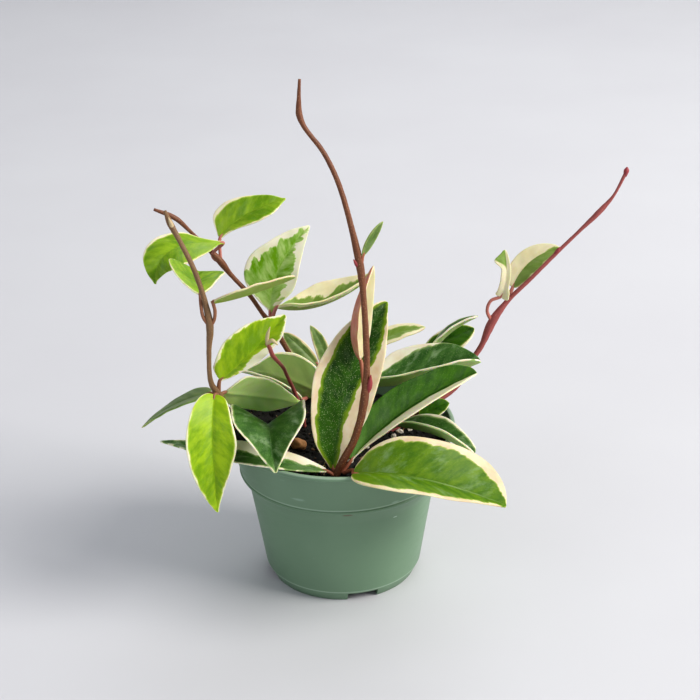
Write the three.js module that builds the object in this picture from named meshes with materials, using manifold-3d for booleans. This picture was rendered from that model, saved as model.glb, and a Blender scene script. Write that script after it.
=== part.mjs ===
// Potted hoya: a variegated wax plant with several vines in a round green nursery pot.
// Millimetres, +Z up. Every place below is measured from the pot's axis on the floor:
// +X is to the right of the front view and +Y is away from the viewer.
import * as THREE from "three";
import { mergeVertices } from "three/addons/utils/BufferGeometryUtils.js";
import Module from "manifold-3d";

const wasm = await Module();
wasm.setup();

const FIT_GAP = 0.3; // clearance between two pieces that touch on the plant

// Pot
const POT_HEIGHT = 76.2;
const RIM_RADIUS = 54;
const LIP_HEIGHT = 1.8;
const LIP_STEP = 0.8; // how far the lip stands out from the rim band
const BAND_RADIUS = 48.2; // rim band where it starts, above the shoulder
const BAND_BOTTOM = 55.4;
const BEAD_STEP = 0.6; // thin bead along the lower edge of the band
const BEAD_HEIGHT = 1.4;
const NECK_RADIUS = 44.2; // top of the tapered body
const NECK_HEIGHT = 47;
const CREASE_RADIUS = 37.5; // top of the chamfer round the foot
const CREASE_HEIGHT = 5.6;
const FOOT_RADIUS = 34.9;
const FOOT_RING_WIDTH = 3;
const WALL = 1.3;
const EDGE_ROUND = 0.5; // chamfer on the lip and under the bead
const FLOOR_UNDERSIDE = 2.6;
const FLOOR_TOP = 4;
const FLOOR_FILLET = 0.8; // between the floor and the wall, inside
const POT_SIDES = 48;
const SLOT_COUNT = 4; // drainage slots through the foot and the floor
const SLOT_WIDTH = 14.6;
const SLOT_HEIGHT = 4.6;
const SLOT_INNER_RADIUS = 26;
const SLOT_OVERRUN = 2; // how far a slot's cutter reaches past the wall
const FIRST_SLOT_DEG = -75.5;

// Soil and what lies on it
const SOIL_TOP = 68;
const SOIL_BOTTOM = FLOOR_TOP + FIT_GAP;
const SOIL_LUMP = 0.8; // height of the lumps on its surface
const SOIL_GAP = 0.5; // to the pot's wall
const SOIL_RINGS = 6;
const SOIL_SIDES = 32;

// Leaves and stems
const BLADE_THICK = 1.1; // leaf blade at its midrib
const BLADE_EDGE = 0.7; // leaf blade at its margin
const BLADE_ROWS = 10;
const BLADE_COLUMNS = 6;
const BASE_HALF_WIDTH = 0.9;
const TIP_HALF_WIDTH = 0.45;
const STALK_RADIUS = 1.1;
const STALK_SIDES = 6;
const STALK_STEP = 5;
const STEM_SIDES = 8;
const STEM_STEP = 7;
const STEM_START = [1, 0.3, 0.2]; // where the sides of a stem are counted from

// The inside of the pot's wall, as [radius, height] from its floor to its lip.
const INNER_WALL = [
  [CREASE_RADIUS - WALL - FLOOR_FILLET, FLOOR_TOP], [CREASE_RADIUS - WALL, CREASE_HEIGHT],
  [NECK_RADIUS - WALL, NECK_HEIGHT], [BAND_RADIUS - WALL, BAND_BOTTOM],
  [RIM_RADIUS - LIP_STEP - WALL, POT_HEIGHT - EDGE_ROUND],
];

const COLOURS = {
  pot: 0x5f7f6c,
  soil: 0x1c1714,
  bark: 0x7b4a35,
  olive: 0x7d6a3f,
  red: 0xa04a50,
  bright: 0x7fae1a,
  green: 0x4f8a1a,
  dark: 0x2d5f16,
  sage: 0x7f9a5a,
  cream: 0xe6e3c4,
  stone: 0xb5793f,
  perlite: 0xdcd8ce,
};

// Vines: each point is [x, y, z, radius], from its foot inside the soil to the tip.
const VINES = {
  front_vine: {
    colour: "bark",
    points: [
      [-2, -36, 60, 1.9], [-1, -36, 68, 2.0], [5, -34, 82, 2.4], [11, -33, 106, 2.3],
      [12, -32, 116, 1.8], [12, -31, 132, 1.6], [11, -29, 155, 1.5], [10, -28, 166, 2.0],
      [6, -26, 186, 1.5], [1, -23, 204, 1.35], [-5, -21, 217, 1.25], [-13, -19, 228, 1.2],
      [-15, -18, 233, 1.5], [-15, -17, 240, 1.0], [-14.5, -16, 248, 0.7],
    ],
  },
  back_vine: {
    colour: "bark",
    points: [
      [-13, 41, 60, 1.6], [-14, 41, 68, 1.5], [-19, 40, 82, 1.4], [-26, 38, 98, 1.4],
      [-33, 35, 113, 1.7], [-36, 35, 117, 1.3], [-43, 32, 130, 1.2], [-51, 30, 141, 1.3],
      [-55, 28, 148, 1.8], [-62, 27, 157, 1.1], [-68, 26, 164, 1.0], [-75, 24, 172, 1.2],
      [-84, 22, 177, 0.7],
    ],
  },
  left_vine: {
    colour: "olive",
    points: [
      [-40, 1, 60, 1.6], [-42, -2, 68, 1.7], [-50, -13, 86, 1.6], [-55, -24, 104, 2.0],
      [-58, -27, 112, 1.5], [-58, -28, 128, 1.5], [-57, -28, 140, 1.9], [-59, -27, 153, 1.3],
      [-63, -26, 167, 1.2], [-69, -25, 181, 1.2], [-72, -24, 187, 1.4], [-74, -24, 193, 0.7],
    ],
  },
  red_shoot: {
    colour: "red",
    points: [
      [-17, 13, 60, 0.95], [-17.5, 12.5, 68, 0.95], [-19, 11, 79, 0.9], [-22, 8, 90, 0.9],
      [-24.5, 0, 101, 0.85], [-26, -9, 110, 0.85], [-28, -18, 117.5, 0.9], [-30, -25, 124, 1],
      [-31, -28, 129, 0.95], [-32, -30, 132, 0.9],
    ],
  },
  right_vine: {
    colour: "red",
    points: [
      [10, -4, 60, 1.6], [15, 0, 66, 1.6], [28, 9, 70, 1.6], [40, 16, 75.5, 1.6],
      [51, 20, 80, 1.6], [58, 22, 86, 1.6], [63, 23, 96, 1.6], [68, 24, 104, 1.6],
      [73, 25, 116, 2.4], [80, 26, 126, 1.5], [91, 27, 137, 1.15], [103, 29, 149, 1.05],
      [114, 30, 160, 1.0], [123, 31, 169, 1.4], [129, 32, 176, 0.8], [134, 33, 186, 0.9],
    ],
  },
  middle_shoot: {
    colour: "bark",
    points: [
      [8, 32, 60, 1.6], [8, 32, 68, 1.6], [9, 31, 82, 1.5], [10, 31, 94, 1.9],
    ],
  },
};

// Leaves: base, middle and tip lie on the midrib, and face is the way the upper side looks.
// outline gives the half widths to the left and to the right, seen from the upper side with
// the tip up, at seven places. A plainer leaf has its full half widths in half, and powers
// shape it. fold lifts both halves from the midrib and curl bends them on towards the
// margins, in degrees, positive towards the upper side. stalk runs from the vine to the base.
const LEAVES = [
  // On the front vine
  {
    name: "leaf_front_upright", vine: "front_vine", colour: "dark",
    base: [-4, -33, 70], middle: [4, -20, 108], tip: [22, -9, 142],
    face: [0.2, -0.9, 0.3], fold: 14, curl: 8,
    outline: [[4, 11, 15.5, 18, 15.5, 10, 4.5], [4, 7.5, 12.5, 13.5, 12, 7.5, 2.5]],
    stalk: [[-1, -36, 66]],
  },
  {
    name: "leaf_front_right", vine: "front_vine", colour: "green",
    base: [5.5, -52, 77.6], middle: [36, -58, 77], tip: [74, -48, 57],
    face: [0.1, -0.46, 0.88], fold: 32, curl: -6,
    outline: [[5.5, 12.5, 17.5, 19, 19, 16, 9.5], [7, 12.5, 15, 14, 11, 6, 2.5]],
    stalk: [[1, -36, 69], [5, -44, 75]],
  },
  {
    name: "leaf_right_dark", vine: "front_vine", colour: "dark",
    base: [4.5, -33, 74], middle: [30, -14, 89.5], tip: [64, 0, 101],
    face: [-0.23, -0.5, 0.85], fold: 40, curl: 4,
    outline: [[3.5, 7.5, 11, 12, 10.5, 9, 5], [1, 4, 10, 13, 12, 8, 2.5]],
    stalk: [[0, -36, 69]],
  },
  {
    name: "leaf_over_rim_left", vine: "front_vine", colour: "green",
    base: [-7, -38, 71.5], middle: [-47, -35, 79], tip: [-84, -15, 76],
    face: [0, 0.1, 0.98], half: [10, 10], powers: [0.6, 0.7], fold: 20, curl: 0,
    stalk: [[-1, -36, 66]],
  },
  {
    name: "leaf_young_pink", vine: "front_vine", colour: "cream",
    base: [9.5, -21, 119], middle: [6.5, -19, 137.5], tip: [16, -15, 162],
    face: [0.8, -0.5, 0.2], half: [9, 9], powers: [0.6, 0.7], fold: 50, curl: 0,
    stalk: [[11, -33, 107]],
  },
  {
    name: "leaf_young_olive", vine: "front_vine", colour: "sage",
    base: [11, -28, 172], middle: [15, -27, 180], tip: [20, -26, 187],
    face: [0.5, -0.8, 0.2], half: [2.2, 2.2], powers: [0.6, 0.7], fold: 20, curl: 0,
    stalk: [[10, -28, 166]],
  },
  // On the middle shoot
  {
    name: "leaf_right_folded", vine: "middle_shoot", colour: "dark",
    base: [10, 15, 89], middle: [36, 13.5, 91], tip: [67, 15, 100],
    face: [0, 0.12, 0.98], fold: 50, curl: -5,
    outline: [[3, 9.5, 17, 19, 18, 14.5, 7], [3.5, 7, 9.5, 10, 10.5, 9.5, 5]],
    stalk: [[9, 31, 86]],
  },
  {
    name: "leaf_behind_pale", vine: "middle_shoot", colour: "cream",
    base: [12, 36, 97.5], middle: [26, 38, 104], tip: [42, 41, 106.5],
    face: [-0.1, -0.3, 0.95], half: [6, 6], powers: [0.6, 0.7], fold: 12, curl: 0,
    stalk: [[10, 31, 94]],
  },
  {
    name: "leaf_behind_arched", vine: "middle_shoot", colour: "dark",
    base: [44, 32.5, 96], middle: [53, 33.5, 107], tip: [67, 36.5, 114],
    face: [-0.3, 0.3, 0.95], half: [7, 7], powers: [0.6, 0.7], fold: 20, curl: 0,
    stalk: [[10, 31, 91]],
  },
  {
    name: "leaf_behind_wide", vine: "middle_shoot", colour: "dark",
    base: [40, 37, 92], middle: [52, 40, 99.5], tip: [66, 43, 104.5],
    face: [-0.1, -0.6, 0.8], half: [6, 9], powers: [0.6, 0.6], fold: 10, curl: 0,
    stalk: [[10, 31, 88]],
  },
  // On the left vine
  {
    name: "leaf_hanging_bright", vine: "left_vine", colour: "bright",
    base: [-56.5, -30, 107], middle: [-57.5, -44, 89], tip: [-56, -49, 57.5],
    face: [0.1, -0.9, 0.35], fold: 14, curl: 0,
    outline: [[5, 7, 9, 11, 8, 3.5, 1], [5.5, 8.5, 11, 12, 10, 6.5, 2.5]],
    stalk: [[-55, -24, 104]],
  },
  {
    name: "leaf_upper_bright", vine: "left_vine", colour: "bright",
    base: [-54, -25, 112], middle: [-41.5, -22, 122], tip: [-24, -15, 139],
    face: [0, -0.9, 0.3], fold: 18, curl: 0,
    outline: [[6, 8.5, 11.5, 13, 12, 7.5, 2.5], [1, 2, 3, 5, 6, 6, 2.5]],
    stalk: [[-55, -24, 104]],
  },
  {
    name: "leaf_front_arched", vine: "left_vine", colour: "dark",
    base: [-34, 0, 74], middle: [-33, -27, 87], tip: [-29, -58, 82],
    face: [0, -0.2, 0.95], fold: 34, curl: 0,
    outline: [[9, 16, 20.5, 21, 19.5, 9, 2.5], [8.5, 15, 19.5, 20, 18.5, 9.5, 3]],
    stalk: [[-42, -2, 70]],
  },
  {
    name: "leaf_left_sage", vine: "left_vine", colour: "sage",
    base: [-52, -21, 104], middle: [-38, -8, 95.5], tip: [-19, 2, 87],
    face: [0, 0.9, 0.25], fold: 8, curl: 0,
    outline: [[4.5, 7, 9, 9.5, 9, 6, 2.5], [8, 11, 11.5, 10.5, 7.5, 4, 1]],
    stalk: [[-55, -24, 104]],
  },
  {
    name: "leaf_left_drooping", vine: "left_vine", colour: "sage",
    base: [-59, -20, 103], middle: [-76, -18, 96], tip: [-92, -16, 84],
    face: [0, 0.1, 0.95], half: [10, 10], powers: [0.4, 0.8], fold: 6, curl: 0,
    stalk: [[-55, -24, 104]],
  },
  {
    name: "leaf_left_short", vine: "left_vine", colour: "bright",
    base: [-61, -22, 153], middle: [-63, -11, 154], tip: [-63, -1, 155],
    face: [0.22, -0.2, 0.95], half: [13.5, 12], powers: [0.5, 0.5], fold: 20, curl: 0,
    stalk: [[-57, -28, 140], [-60.4, -29, 144], [-61.5, -27.5, 149]],
  },
  {
    name: "leaf_left_narrow", vine: "left_vine", colour: "sage",
    base: [-55.5, -28.5, 152], middle: [-39, -22, 153], tip: [-19, -16, 158],
    face: [-0.1, 0.5, 0.85], half: [13, 13], powers: [0.35, 0.85], fold: 6, curl: 0,
    stalk: [[-57, -28, 140], [-54.2, -29, 144.5], [-54, -29, 149]],
  },
  // On the back vine
  {
    name: "leaf_top_left", vine: "back_vine", colour: "green",
    base: [-53, 22, 160], middle: [-76, 8, 162], tip: [-83, 0, 149],
    face: [-0.1, -0.5, 0.85], fold: 8, curl: 0,
    outline: [[1.5, 7, 11.5, 12.5, 10.5, 5, 1], [1, 2.5, 7.5, 10, 9.5, 5, 1.5]],
    stalk: [[-55, 28, 148]],
  },
  {
    name: "leaf_top", vine: "back_vine", colour: "green",
    base: [-55, 31, 159], middle: [-42, 35, 169], tip: [-24, 39, 175],
    face: [0, -0.6, 0.8], fold: 8, curl: 0,
    outline: [[3.5, 10, 11.5, 10, 7, 4, 1], [1, 2, 4, 6.5, 7, 5, 1.5]],
    stalk: [[-55, 28, 148]],
  },
  {
    name: "leaf_variegated", vine: "back_vine", colour: "cream",
    base: [-33, 32, 120], middle: [-27.5, 31, 143], tip: [-13, 34, 163],
    face: [0, -0.9, 0.3], fold: 8, curl: 0,
    outline: [[1.5, 7, 14.5, 15.5, 10.5, 6, 2], [2.5, 5.5, 9.5, 9.5, 7, 4, 1.5]],
    stalk: [[-33, 35, 113]],
  },
  {
    name: "leaf_cream_folded", vine: "back_vine", colour: "cream",
    base: [-29, 27, 125], middle: [-7, 30, 125], tip: [17, 34, 138],
    face: [0, -0.1, 0.98], fold: 45, curl: 0,
    outline: [[2, 5.5, 9, 11, 9.5, 6, 2.5], [6, 9, 9.5, 8, 7, 5, 2]],
    stalk: [[-33, 35, 113]],
  },
  {
    name: "leaf_back_sage", vine: "back_vine", colour: "sage",
    base: [-10, 31, 77], middle: [-27, 30, 86], tip: [-46, 30, 90],
    face: [0, 0.95, 0.15], fold: 8, curl: 0,
    outline: [[3, 9.5, 13, 14.5, 12, 5.5, 1.5], [4.5, 8, 7, 4.5, 2, 1, 0.5]],
    stalk: [[-16, 41, 70]],
  },
  {
    name: "leaf_back_dark", vine: "back_vine", colour: "dark",
    base: [-11, 46, 85], middle: [-20, 48, 95], tip: [-27.5, 50, 101],
    face: [0.3, -0.9, 0.3], half: [6, 3], powers: [0.5, 0.7], fold: 8, curl: 0,
    stalk: [[-16, 41, 70]],
  },
  {
    name: "leaf_back_pointed", vine: "back_vine", colour: "sage",
    base: [-6, 34, 86], middle: [-8, 36, 99], tip: [-14, 38, 110],
    face: [0.3, -0.9, 0.3], half: [4.5, 2.8], powers: [0.6, 0.7], fold: 8, curl: 0,
    stalk: [[-16, 41, 70]],
  },
  {
    name: "leaf_back_edge_on", vine: "back_vine", colour: "cream",
    base: [-19, 20, 79.5], middle: [-34, 18, 91], tip: [-49, 16, 97],
    face: [0.2, 0.42, 0.9], half: [7, 7], powers: [0.5, 0.7], fold: 6, curl: 0,
    stalk: [[-16, 41, 70]],
  },
  // On the right vine
  {
    name: "leaf_right_low", vine: "right_vine", colour: "dark",
    base: [27, -3, 76], middle: [45, -19, 79], tip: [61, -28, 73],
    face: [0, 0.1, 0.98], fold: 45, curl: 0,
    outline: [[3, 6.5, 9, 9.5, 7.5, 5.5, 3.5], [3, 6, 9, 11, 10, 6, 3.5]],
    stalk: [[28, 9, 70]],
  },
  {
    name: "leaf_right_shaded", vine: "right_vine", colour: "dark",
    base: [38, 7, 74], middle: [45, 9, 78.5], tip: [52, 11, 80],
    face: [0, -0.6, 0.8], half: [5, 5], powers: [0.5, 0.7], fold: 8, curl: 0,
    stalk: [[34, 13, 72.5]],
  },
  {
    name: "leaf_curled_cream", vine: "right_vine", colour: "cream",
    base: [76.5, 23.5, 129.5], middle: [79, 22, 140], tip: [78, 24, 153],
    face: [0, -0.9, 0.3], fold: 20, curl: 0,
    outline: [[3, 3, 3, 3, 3, 6, 2], [4, 3.5, 2, 2, 2, 1.5, 1]],
    stalk: [[73, 25, 116], [70.4, 24, 122], [72, 23.5, 127.5]],
  },
  {
    name: "leaf_right_pink", vine: "right_vine", colour: "cream",
    base: [83, 31, 131], middle: [92, 36, 142], tip: [106, 38, 148],
    face: [-0.3, -0.7, 0.6], half: [7, 7], powers: [0.5, 0.7], fold: 15, curl: 0,
    stalk: [[80, 26, 126]],
  },
];

const PEBBLES = [
  { name: "pebble", colour: "stone", detail: 1, place: [-20, -9, 70], size: [4, 3, 2.6] },
  { name: "perlite_1", colour: "perlite", detail: 0, place: [28, 5, 68.6], size: [1.6, 1.3, 1.2] },
  { name: "perlite_2", colour: "perlite", detail: 0, place: [25, 0, 68.6], size: [1.2, 1.4, 1.1] },
  { name: "perlite_3", colour: "perlite", detail: 0, place: [33, 7, 68.6], size: [1.5, 1.2, 1.1] },
  { name: "perlite_4", colour: "perlite", detail: 0, place: [12, -11, 68.6], size: [1.3, 1.1, 1.0] },
  { name: "perlite_5", colour: "perlite", detail: 0, place: [4, -24, 68.6], size: [1.6, 1.3, 1.1] },
];

const point = (p) => new THREE.Vector3(p[0], p[1], p[2]);
const radians = THREE.MathUtils.degToRad;

// A closed geometry as a solid for the booleans, and back.
function solidOf(geometry) {
  const bare = new THREE.BufferGeometry();
  bare.setAttribute("position", geometry.getAttribute("position").clone());
  bare.setIndex(geometry.getIndex() ? geometry.getIndex().clone() : null);
  const merged = mergeVertices(bare, 1e-4);
  return new wasm.Manifold(new wasm.Mesh({
    numProp: 3,
    vertProperties: Float32Array.from(merged.getAttribute("position").array),
    triVerts: Uint32Array.from(merged.getIndex().array),
  }));
}

function geometryOf(solid) {
  const mesh = solid.getMesh();
  const geometry = new THREE.BufferGeometry();
  geometry.setAttribute("position", new THREE.BufferAttribute(mesh.vertProperties, 3));
  geometry.setIndex(new THREE.BufferAttribute(mesh.triVerts, 1));
  geometry.computeVertexNormals();
  return geometry;
}

// Closed rings of the same count, joined into a solid. A ring runs anticlockwise seen from
// the last ring, and its first half faces its second half, so strips close both ends.
function loftSolid(rings) {
  const sides = rings[0].length;
  const positions = rings.flat().flatMap((p) => [p.x, p.y, p.z]);
  const index = [];
  for (let row = 0; row + 1 < rings.length; row += 1) {
    for (let side = 0; side < sides; side += 1) {
      const a = row * sides + side;
      const b = row * sides + ((side + 1) % sides);
      if (side < sides / 2) index.push(a, b, b + sides, a, b + sides, a + sides);
      else index.push(a, b, a + sides, b, b + sides, a + sides);
    }
  }
  const last = (rings.length - 1) * sides;
  for (let side = 0; side + 1 < sides / 2; side += 1) {
    const [a, b, c, d] = [side, side + 1, sides - 2 - side, sides - 1 - side];
    index.push(a, c, b, a, d, c);
    index.push(last + a, last + b, last + c, last + a, last + c, last + d);
  }
  const geometry = new THREE.BufferGeometry();
  geometry.setAttribute("position", new THREE.Float32BufferAttribute(positions, 3));
  geometry.setIndex(index);
  return solidOf(geometry);
}

// A tapered round stem through points, with a radius at each; extra widens it all over.
function stemSolid(points, radii, sides, step, extra = 0) {
  const curve = new THREE.CatmullRomCurve3(points, false, "centripetal");
  const count = Math.max(2, Math.round(curve.getLength() / step));
  const across = point(STEM_START);
  const rings = [];
  for (let ring = 0; ring <= count; ring += 1) {
    const t = curve.getUtoTmapping(ring / count);
    const centre = curve.getPoint(t);
    const along = curve.getTangent(t).normalize();
    across.addScaledVector(along, -across.dot(along)).normalize();
    const up = along.clone().cross(across);
    const place = t * (points.length - 1);
    const lower = Math.min(Math.floor(place), points.length - 2);
    const radius = THREE.MathUtils.lerp(radii[lower], radii[lower + 1], place - lower) + extra;
    const circle = [];
    for (let side = 0; side < sides; side += 1) {
      const angle = (2 * Math.PI * side) / sides;
      circle.push(centre.clone()
        .addScaledVector(across, radius * Math.cos(angle))
        .addScaledVector(up, radius * Math.sin(angle)));
    }
    rings.push(circle);
  }
  return loftSolid(rings);
}

// Midrib of a leaf: a quadratic curve through its base, middle and tip.
function midrib(leaf) {
  const [base, middle, tip] = [point(leaf.base), point(leaf.middle), point(leaf.tip)];
  const control = middle.clone().multiplyScalar(2)
    .addScaledVector(base, -0.5).addScaledVector(tip, -0.5);
  return new THREE.QuadraticBezierCurve3(base, control, tip);
}

// Half width at u along the midrib. A leaf with an outline gives it at seven places, closer
// together at both ends. The others give the full half width and two powers: the first one
// rounds the base and the second one the tip, a low power blunt and a high one drawn out.
function halfWidth(leaf, side, u) {
  if (leaf.outline) {
    const widths = [BASE_HALF_WIDTH, ...leaf.outline[side], TIP_HALF_WIDTH];
    const place = (Math.acos(1 - 2 * u) / Math.PI) * (widths.length - 1);
    const lower = Math.min(Math.floor(place), widths.length - 2);
    return THREE.MathUtils.lerp(widths[lower], widths[lower + 1], place - lower);
  }
  const [basePower, tipPower] = leaf.powers;
  const widest = basePower / (basePower + tipPower);
  const peak = widest ** basePower * (1 - widest) ** tipPower;
  return (leaf.half[side] * u ** basePower * (1 - u) ** tipPower) / peak;
}

// The blade's middle surface at u along the midrib and s across it, from -1 at the left
// margin to 1 at the right one. lift is the way to its upper side, long enough there for a
// blade that is one unit thick across its own slope.
function bladePoint(leaf, curve, u, s) {
  const centre = curve.getPoint(u);
  const along = curve.getTangent(u).normalize();
  const face = point(leaf.face);
  face.addScaledVector(along, -face.dot(along)).normalize();
  const right = along.clone().cross(face);
  const sign = Math.sign(s);
  const half = halfWidth(leaf, s < 0 ? 0 : 1, u);
  const least = THREE.MathUtils.lerp(BASE_HALF_WIDTH, TIP_HALF_WIDTH, u);
  const reach = Math.abs(s) * Math.max(least, half);
  const bend = radians(leaf.curl) * Math.abs(s);
  const rise = radians(leaf.fold) + bend / 2;
  const slope = s === 0 ? 0 : radians(leaf.fold) + bend;
  const place = centre.clone()
    .addScaledVector(right, sign * reach * Math.cos(rise))
    .addScaledVector(face, reach * Math.sin(rise));
  return { place, lift: face.multiplyScalar(1 / Math.cos(slope)) };
}

// One leaf blade: its upper and its lower side share one grid.
function bladeSolid(leaf) {
  const curve = midrib(leaf);
  const rings = [];
  for (let row = 0; row <= BLADE_ROWS; row += 1) {
    const upper = [];
    const lower = [];
    for (let column = 0; column <= BLADE_COLUMNS; column += 1) {
      const s = (2 * column) / BLADE_COLUMNS - 1;
      const { place, lift } = bladePoint(leaf, curve, row / BLADE_ROWS, s);
      const thick = THREE.MathUtils.lerp(BLADE_THICK, BLADE_EDGE, s * s) / 2;
      upper.push(place.clone().addScaledVector(lift, thick));
      lower.push(place.clone().addScaledVector(lift, -thick));
    }
    rings.push([...upper, ...lower.reverse()]);
  }
  return loftSolid(rings);
}

// The stalk of a leaf, from the vine to just short of the blade's base.
function stalkSolid(leaf, extra = 0) {
  const start = midrib(leaf).getTangent(0).normalize();
  const end = point(leaf.base).addScaledVector(start, -FIT_GAP);
  const points = [...leaf.stalk.map(point), end];
  return stemSolid(points, points.map(() => STALK_RADIUS), STALK_SIDES, STALK_STEP, extra);
}

function vineSolid(name, extra = 0) {
  const vine = VINES[name];
  let solid = stemSolid(vine.points.map(point), vine.points.map((p) => p[3]),
    STEM_SIDES, STEM_STEP, extra);
  for (const leaf of LEAVES) {
    if (leaf.vine === name) solid = solid.add(stalkSolid(leaf, extra));
  }
  return solid;
}

// Pot: one turned wall with a lip, a rim band, a shoulder, a tapered body and a foot ring.
function potSolid() {
  const bandTop = POT_HEIGHT - LIP_HEIGHT;
  const bandTopRadius = RIM_RADIUS - LIP_STEP;
  const ringInner = FOOT_RADIUS - FOOT_RING_WIDTH;
  const bead = BAND_RADIUS + BEAD_STEP;
  const outside = [
    [0, FLOOR_UNDERSIDE], [ringInner, FLOOR_UNDERSIDE], [ringInner, 0], [FOOT_RADIUS, 0],
    [CREASE_RADIUS, CREASE_HEIGHT], [NECK_RADIUS, NECK_HEIGHT],
    [BAND_RADIUS, BAND_BOTTOM - BEAD_HEIGHT], [bead, BAND_BOTTOM - EDGE_ROUND],
    [bead, BAND_BOTTOM], [BAND_RADIUS, BAND_BOTTOM + EDGE_ROUND],
    [bandTopRadius, bandTop - LIP_STEP], [RIM_RADIUS, bandTop],
    [RIM_RADIUS, POT_HEIGHT - EDGE_ROUND], [RIM_RADIUS - EDGE_ROUND, POT_HEIGHT],
  ];
  const inside = [
    [bandTopRadius - WALL + EDGE_ROUND, POT_HEIGHT], ...INNER_WALL.toReversed(),
    [0, FLOOR_TOP],
  ];
  const profile = [...outside, ...inside].map((p) => new THREE.Vector2(...p));
  const lathe = new THREE.LatheGeometry(profile, POT_SIDES);
  lathe.rotateX(Math.PI / 2);
  let pot = solidOf(lathe);
  const reach = CREASE_RADIUS + SLOT_OVERRUN - SLOT_INNER_RADIUS;
  for (let slot = 0; slot < SLOT_COUNT; slot += 1) {
    const cutter = new THREE.BoxGeometry(reach, SLOT_WIDTH, 2 * SLOT_HEIGHT);
    cutter.translate(SLOT_INNER_RADIUS + reach / 2, 0, 0);
    cutter.rotateZ(radians(FIRST_SLOT_DEG + (360 * slot) / SLOT_COUNT));
    pot = pot.subtract(solidOf(cutter));
  }
  return pot;
}

// Height of the soil's surface: broad swells with finer lumps on them.
function soilHeight(x, y) {
  const swell = Math.sin(0.31 * x + 1.3) * Math.cos(0.27 * y - 0.6);
  const lump = Math.sin(0.83 * x - 0.4 * y) * Math.cos(0.71 * y + 0.35 * x);
  return SOIL_TOP + (SOIL_LUMP * (swell + lump)) / 2;
}

// Inner radius of the pot's wall at a height.
function innerRadius(height) {
  const next = INNER_WALL.findIndex(([, level]) => level >= height);
  const [low, high] = [INNER_WALL[next - 1], INNER_WALL[next]];
  return THREE.MathUtils.mapLinear(height, low[1], high[1], low[0], high[0]);
}

function soilSolid() {
  const levels = [SOIL_BOTTOM, CREASE_HEIGHT + 1, NECK_HEIGHT - 1, BAND_BOTTOM, SOIL_TOP];
  const rings = levels.map((level) => ({ radius: innerRadius(level) - SOIL_GAP, level }));
  const edge = rings[rings.length - 1].radius;
  for (let ring = 1; ring < SOIL_RINGS; ring += 1) {
    rings.push({ radius: edge * (1 - ring / SOIL_RINGS), level: null });
  }
  const positions = [0, 0, SOIL_BOTTOM];
  for (const { radius, level } of rings) {
    for (let side = 0; side < SOIL_SIDES; side += 1) {
      const angle = (2 * Math.PI * side) / SOIL_SIDES;
      const [x, y] = [radius * Math.cos(angle), radius * Math.sin(angle)];
      positions.push(x, y, level ?? soilHeight(x, y));
    }
  }
  positions.push(0, 0, soilHeight(0, 0));
  const index = [];
  const at = (ring, side) => 1 + ring * SOIL_SIDES + (side % SOIL_SIDES);
  const top = positions.length / 3 - 1;
  for (let side = 0; side < SOIL_SIDES; side += 1) {
    index.push(0, at(0, side + 1), at(0, side));
    for (let ring = 0; ring + 1 < rings.length; ring += 1) {
      index.push(at(ring, side), at(ring, side + 1), at(ring + 1, side + 1));
      index.push(at(ring, side), at(ring + 1, side + 1), at(ring + 1, side));
    }
    index.push(at(rings.length - 1, side), at(rings.length - 1, side + 1), top);
  }
  const geometry = new THREE.BufferGeometry();
  geometry.setAttribute("position", new THREE.Float32BufferAttribute(positions, 3));
  geometry.setIndex(index);
  return solidOf(geometry);
}

function pebbleGeometry(pebble, extra = 0) {
  const geometry = new THREE.IcosahedronGeometry(1, pebble.detail);
  geometry.scale(...pebble.size.map((side) => side + extra));
  geometry.translate(...pebble.place);
  return geometry;
}

function piece(name, solid, colour, roughness) {
  const material = new THREE.MeshStandardMaterial({ color: COLOURS[colour], roughness });
  const mesh = new THREE.Mesh(geometryOf(solid), material);
  mesh.name = name;
  return mesh;
}

const plant = new THREE.Group();
plant.add(piece("pot", potSolid(), "pot", 0.55));

let soil = soilSolid();
for (const name of Object.keys(VINES)) {
  plant.add(piece(name, vineSolid(name), VINES[name].colour, 0.6));
  soil = soil.subtract(vineSolid(name, FIT_GAP));
}
for (const pebble of PEBBLES) {
  plant.add(piece(pebble.name, solidOf(pebbleGeometry(pebble)), pebble.colour, 0.8));
  soil = soil.subtract(solidOf(pebbleGeometry(pebble, FIT_GAP)));
}
plant.add(piece("soil", soil, "soil", 0.95));
for (const leaf of LEAVES) {
  const blade = bladeSolid(leaf).subtract(vineSolid(leaf.vine, FIT_GAP));
  plant.add(piece(leaf.name, blade, leaf.colour, 0.4));
}

// The part's origin is the middle of its box, on the floor.
const box = new THREE.Box3().setFromObject(plant);
const centre = box.getCenter(new THREE.Vector3());
plant.position.set(-centre.x, -centre.y, 0);
const part = new THREE.Group();
part.add(plant);

export default part;
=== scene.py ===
"""Potted hoya: a variegated wax plant with several vines in a round green nursery pot.

The tables below are in millimetres from the pot's axis on the floor: +X is to the right of
the front view, +Y is away from the viewer and +Z is up.
"""
import math
import random

import bmesh
import bpy
from mathutils import Matrix, Vector, noise


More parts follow.
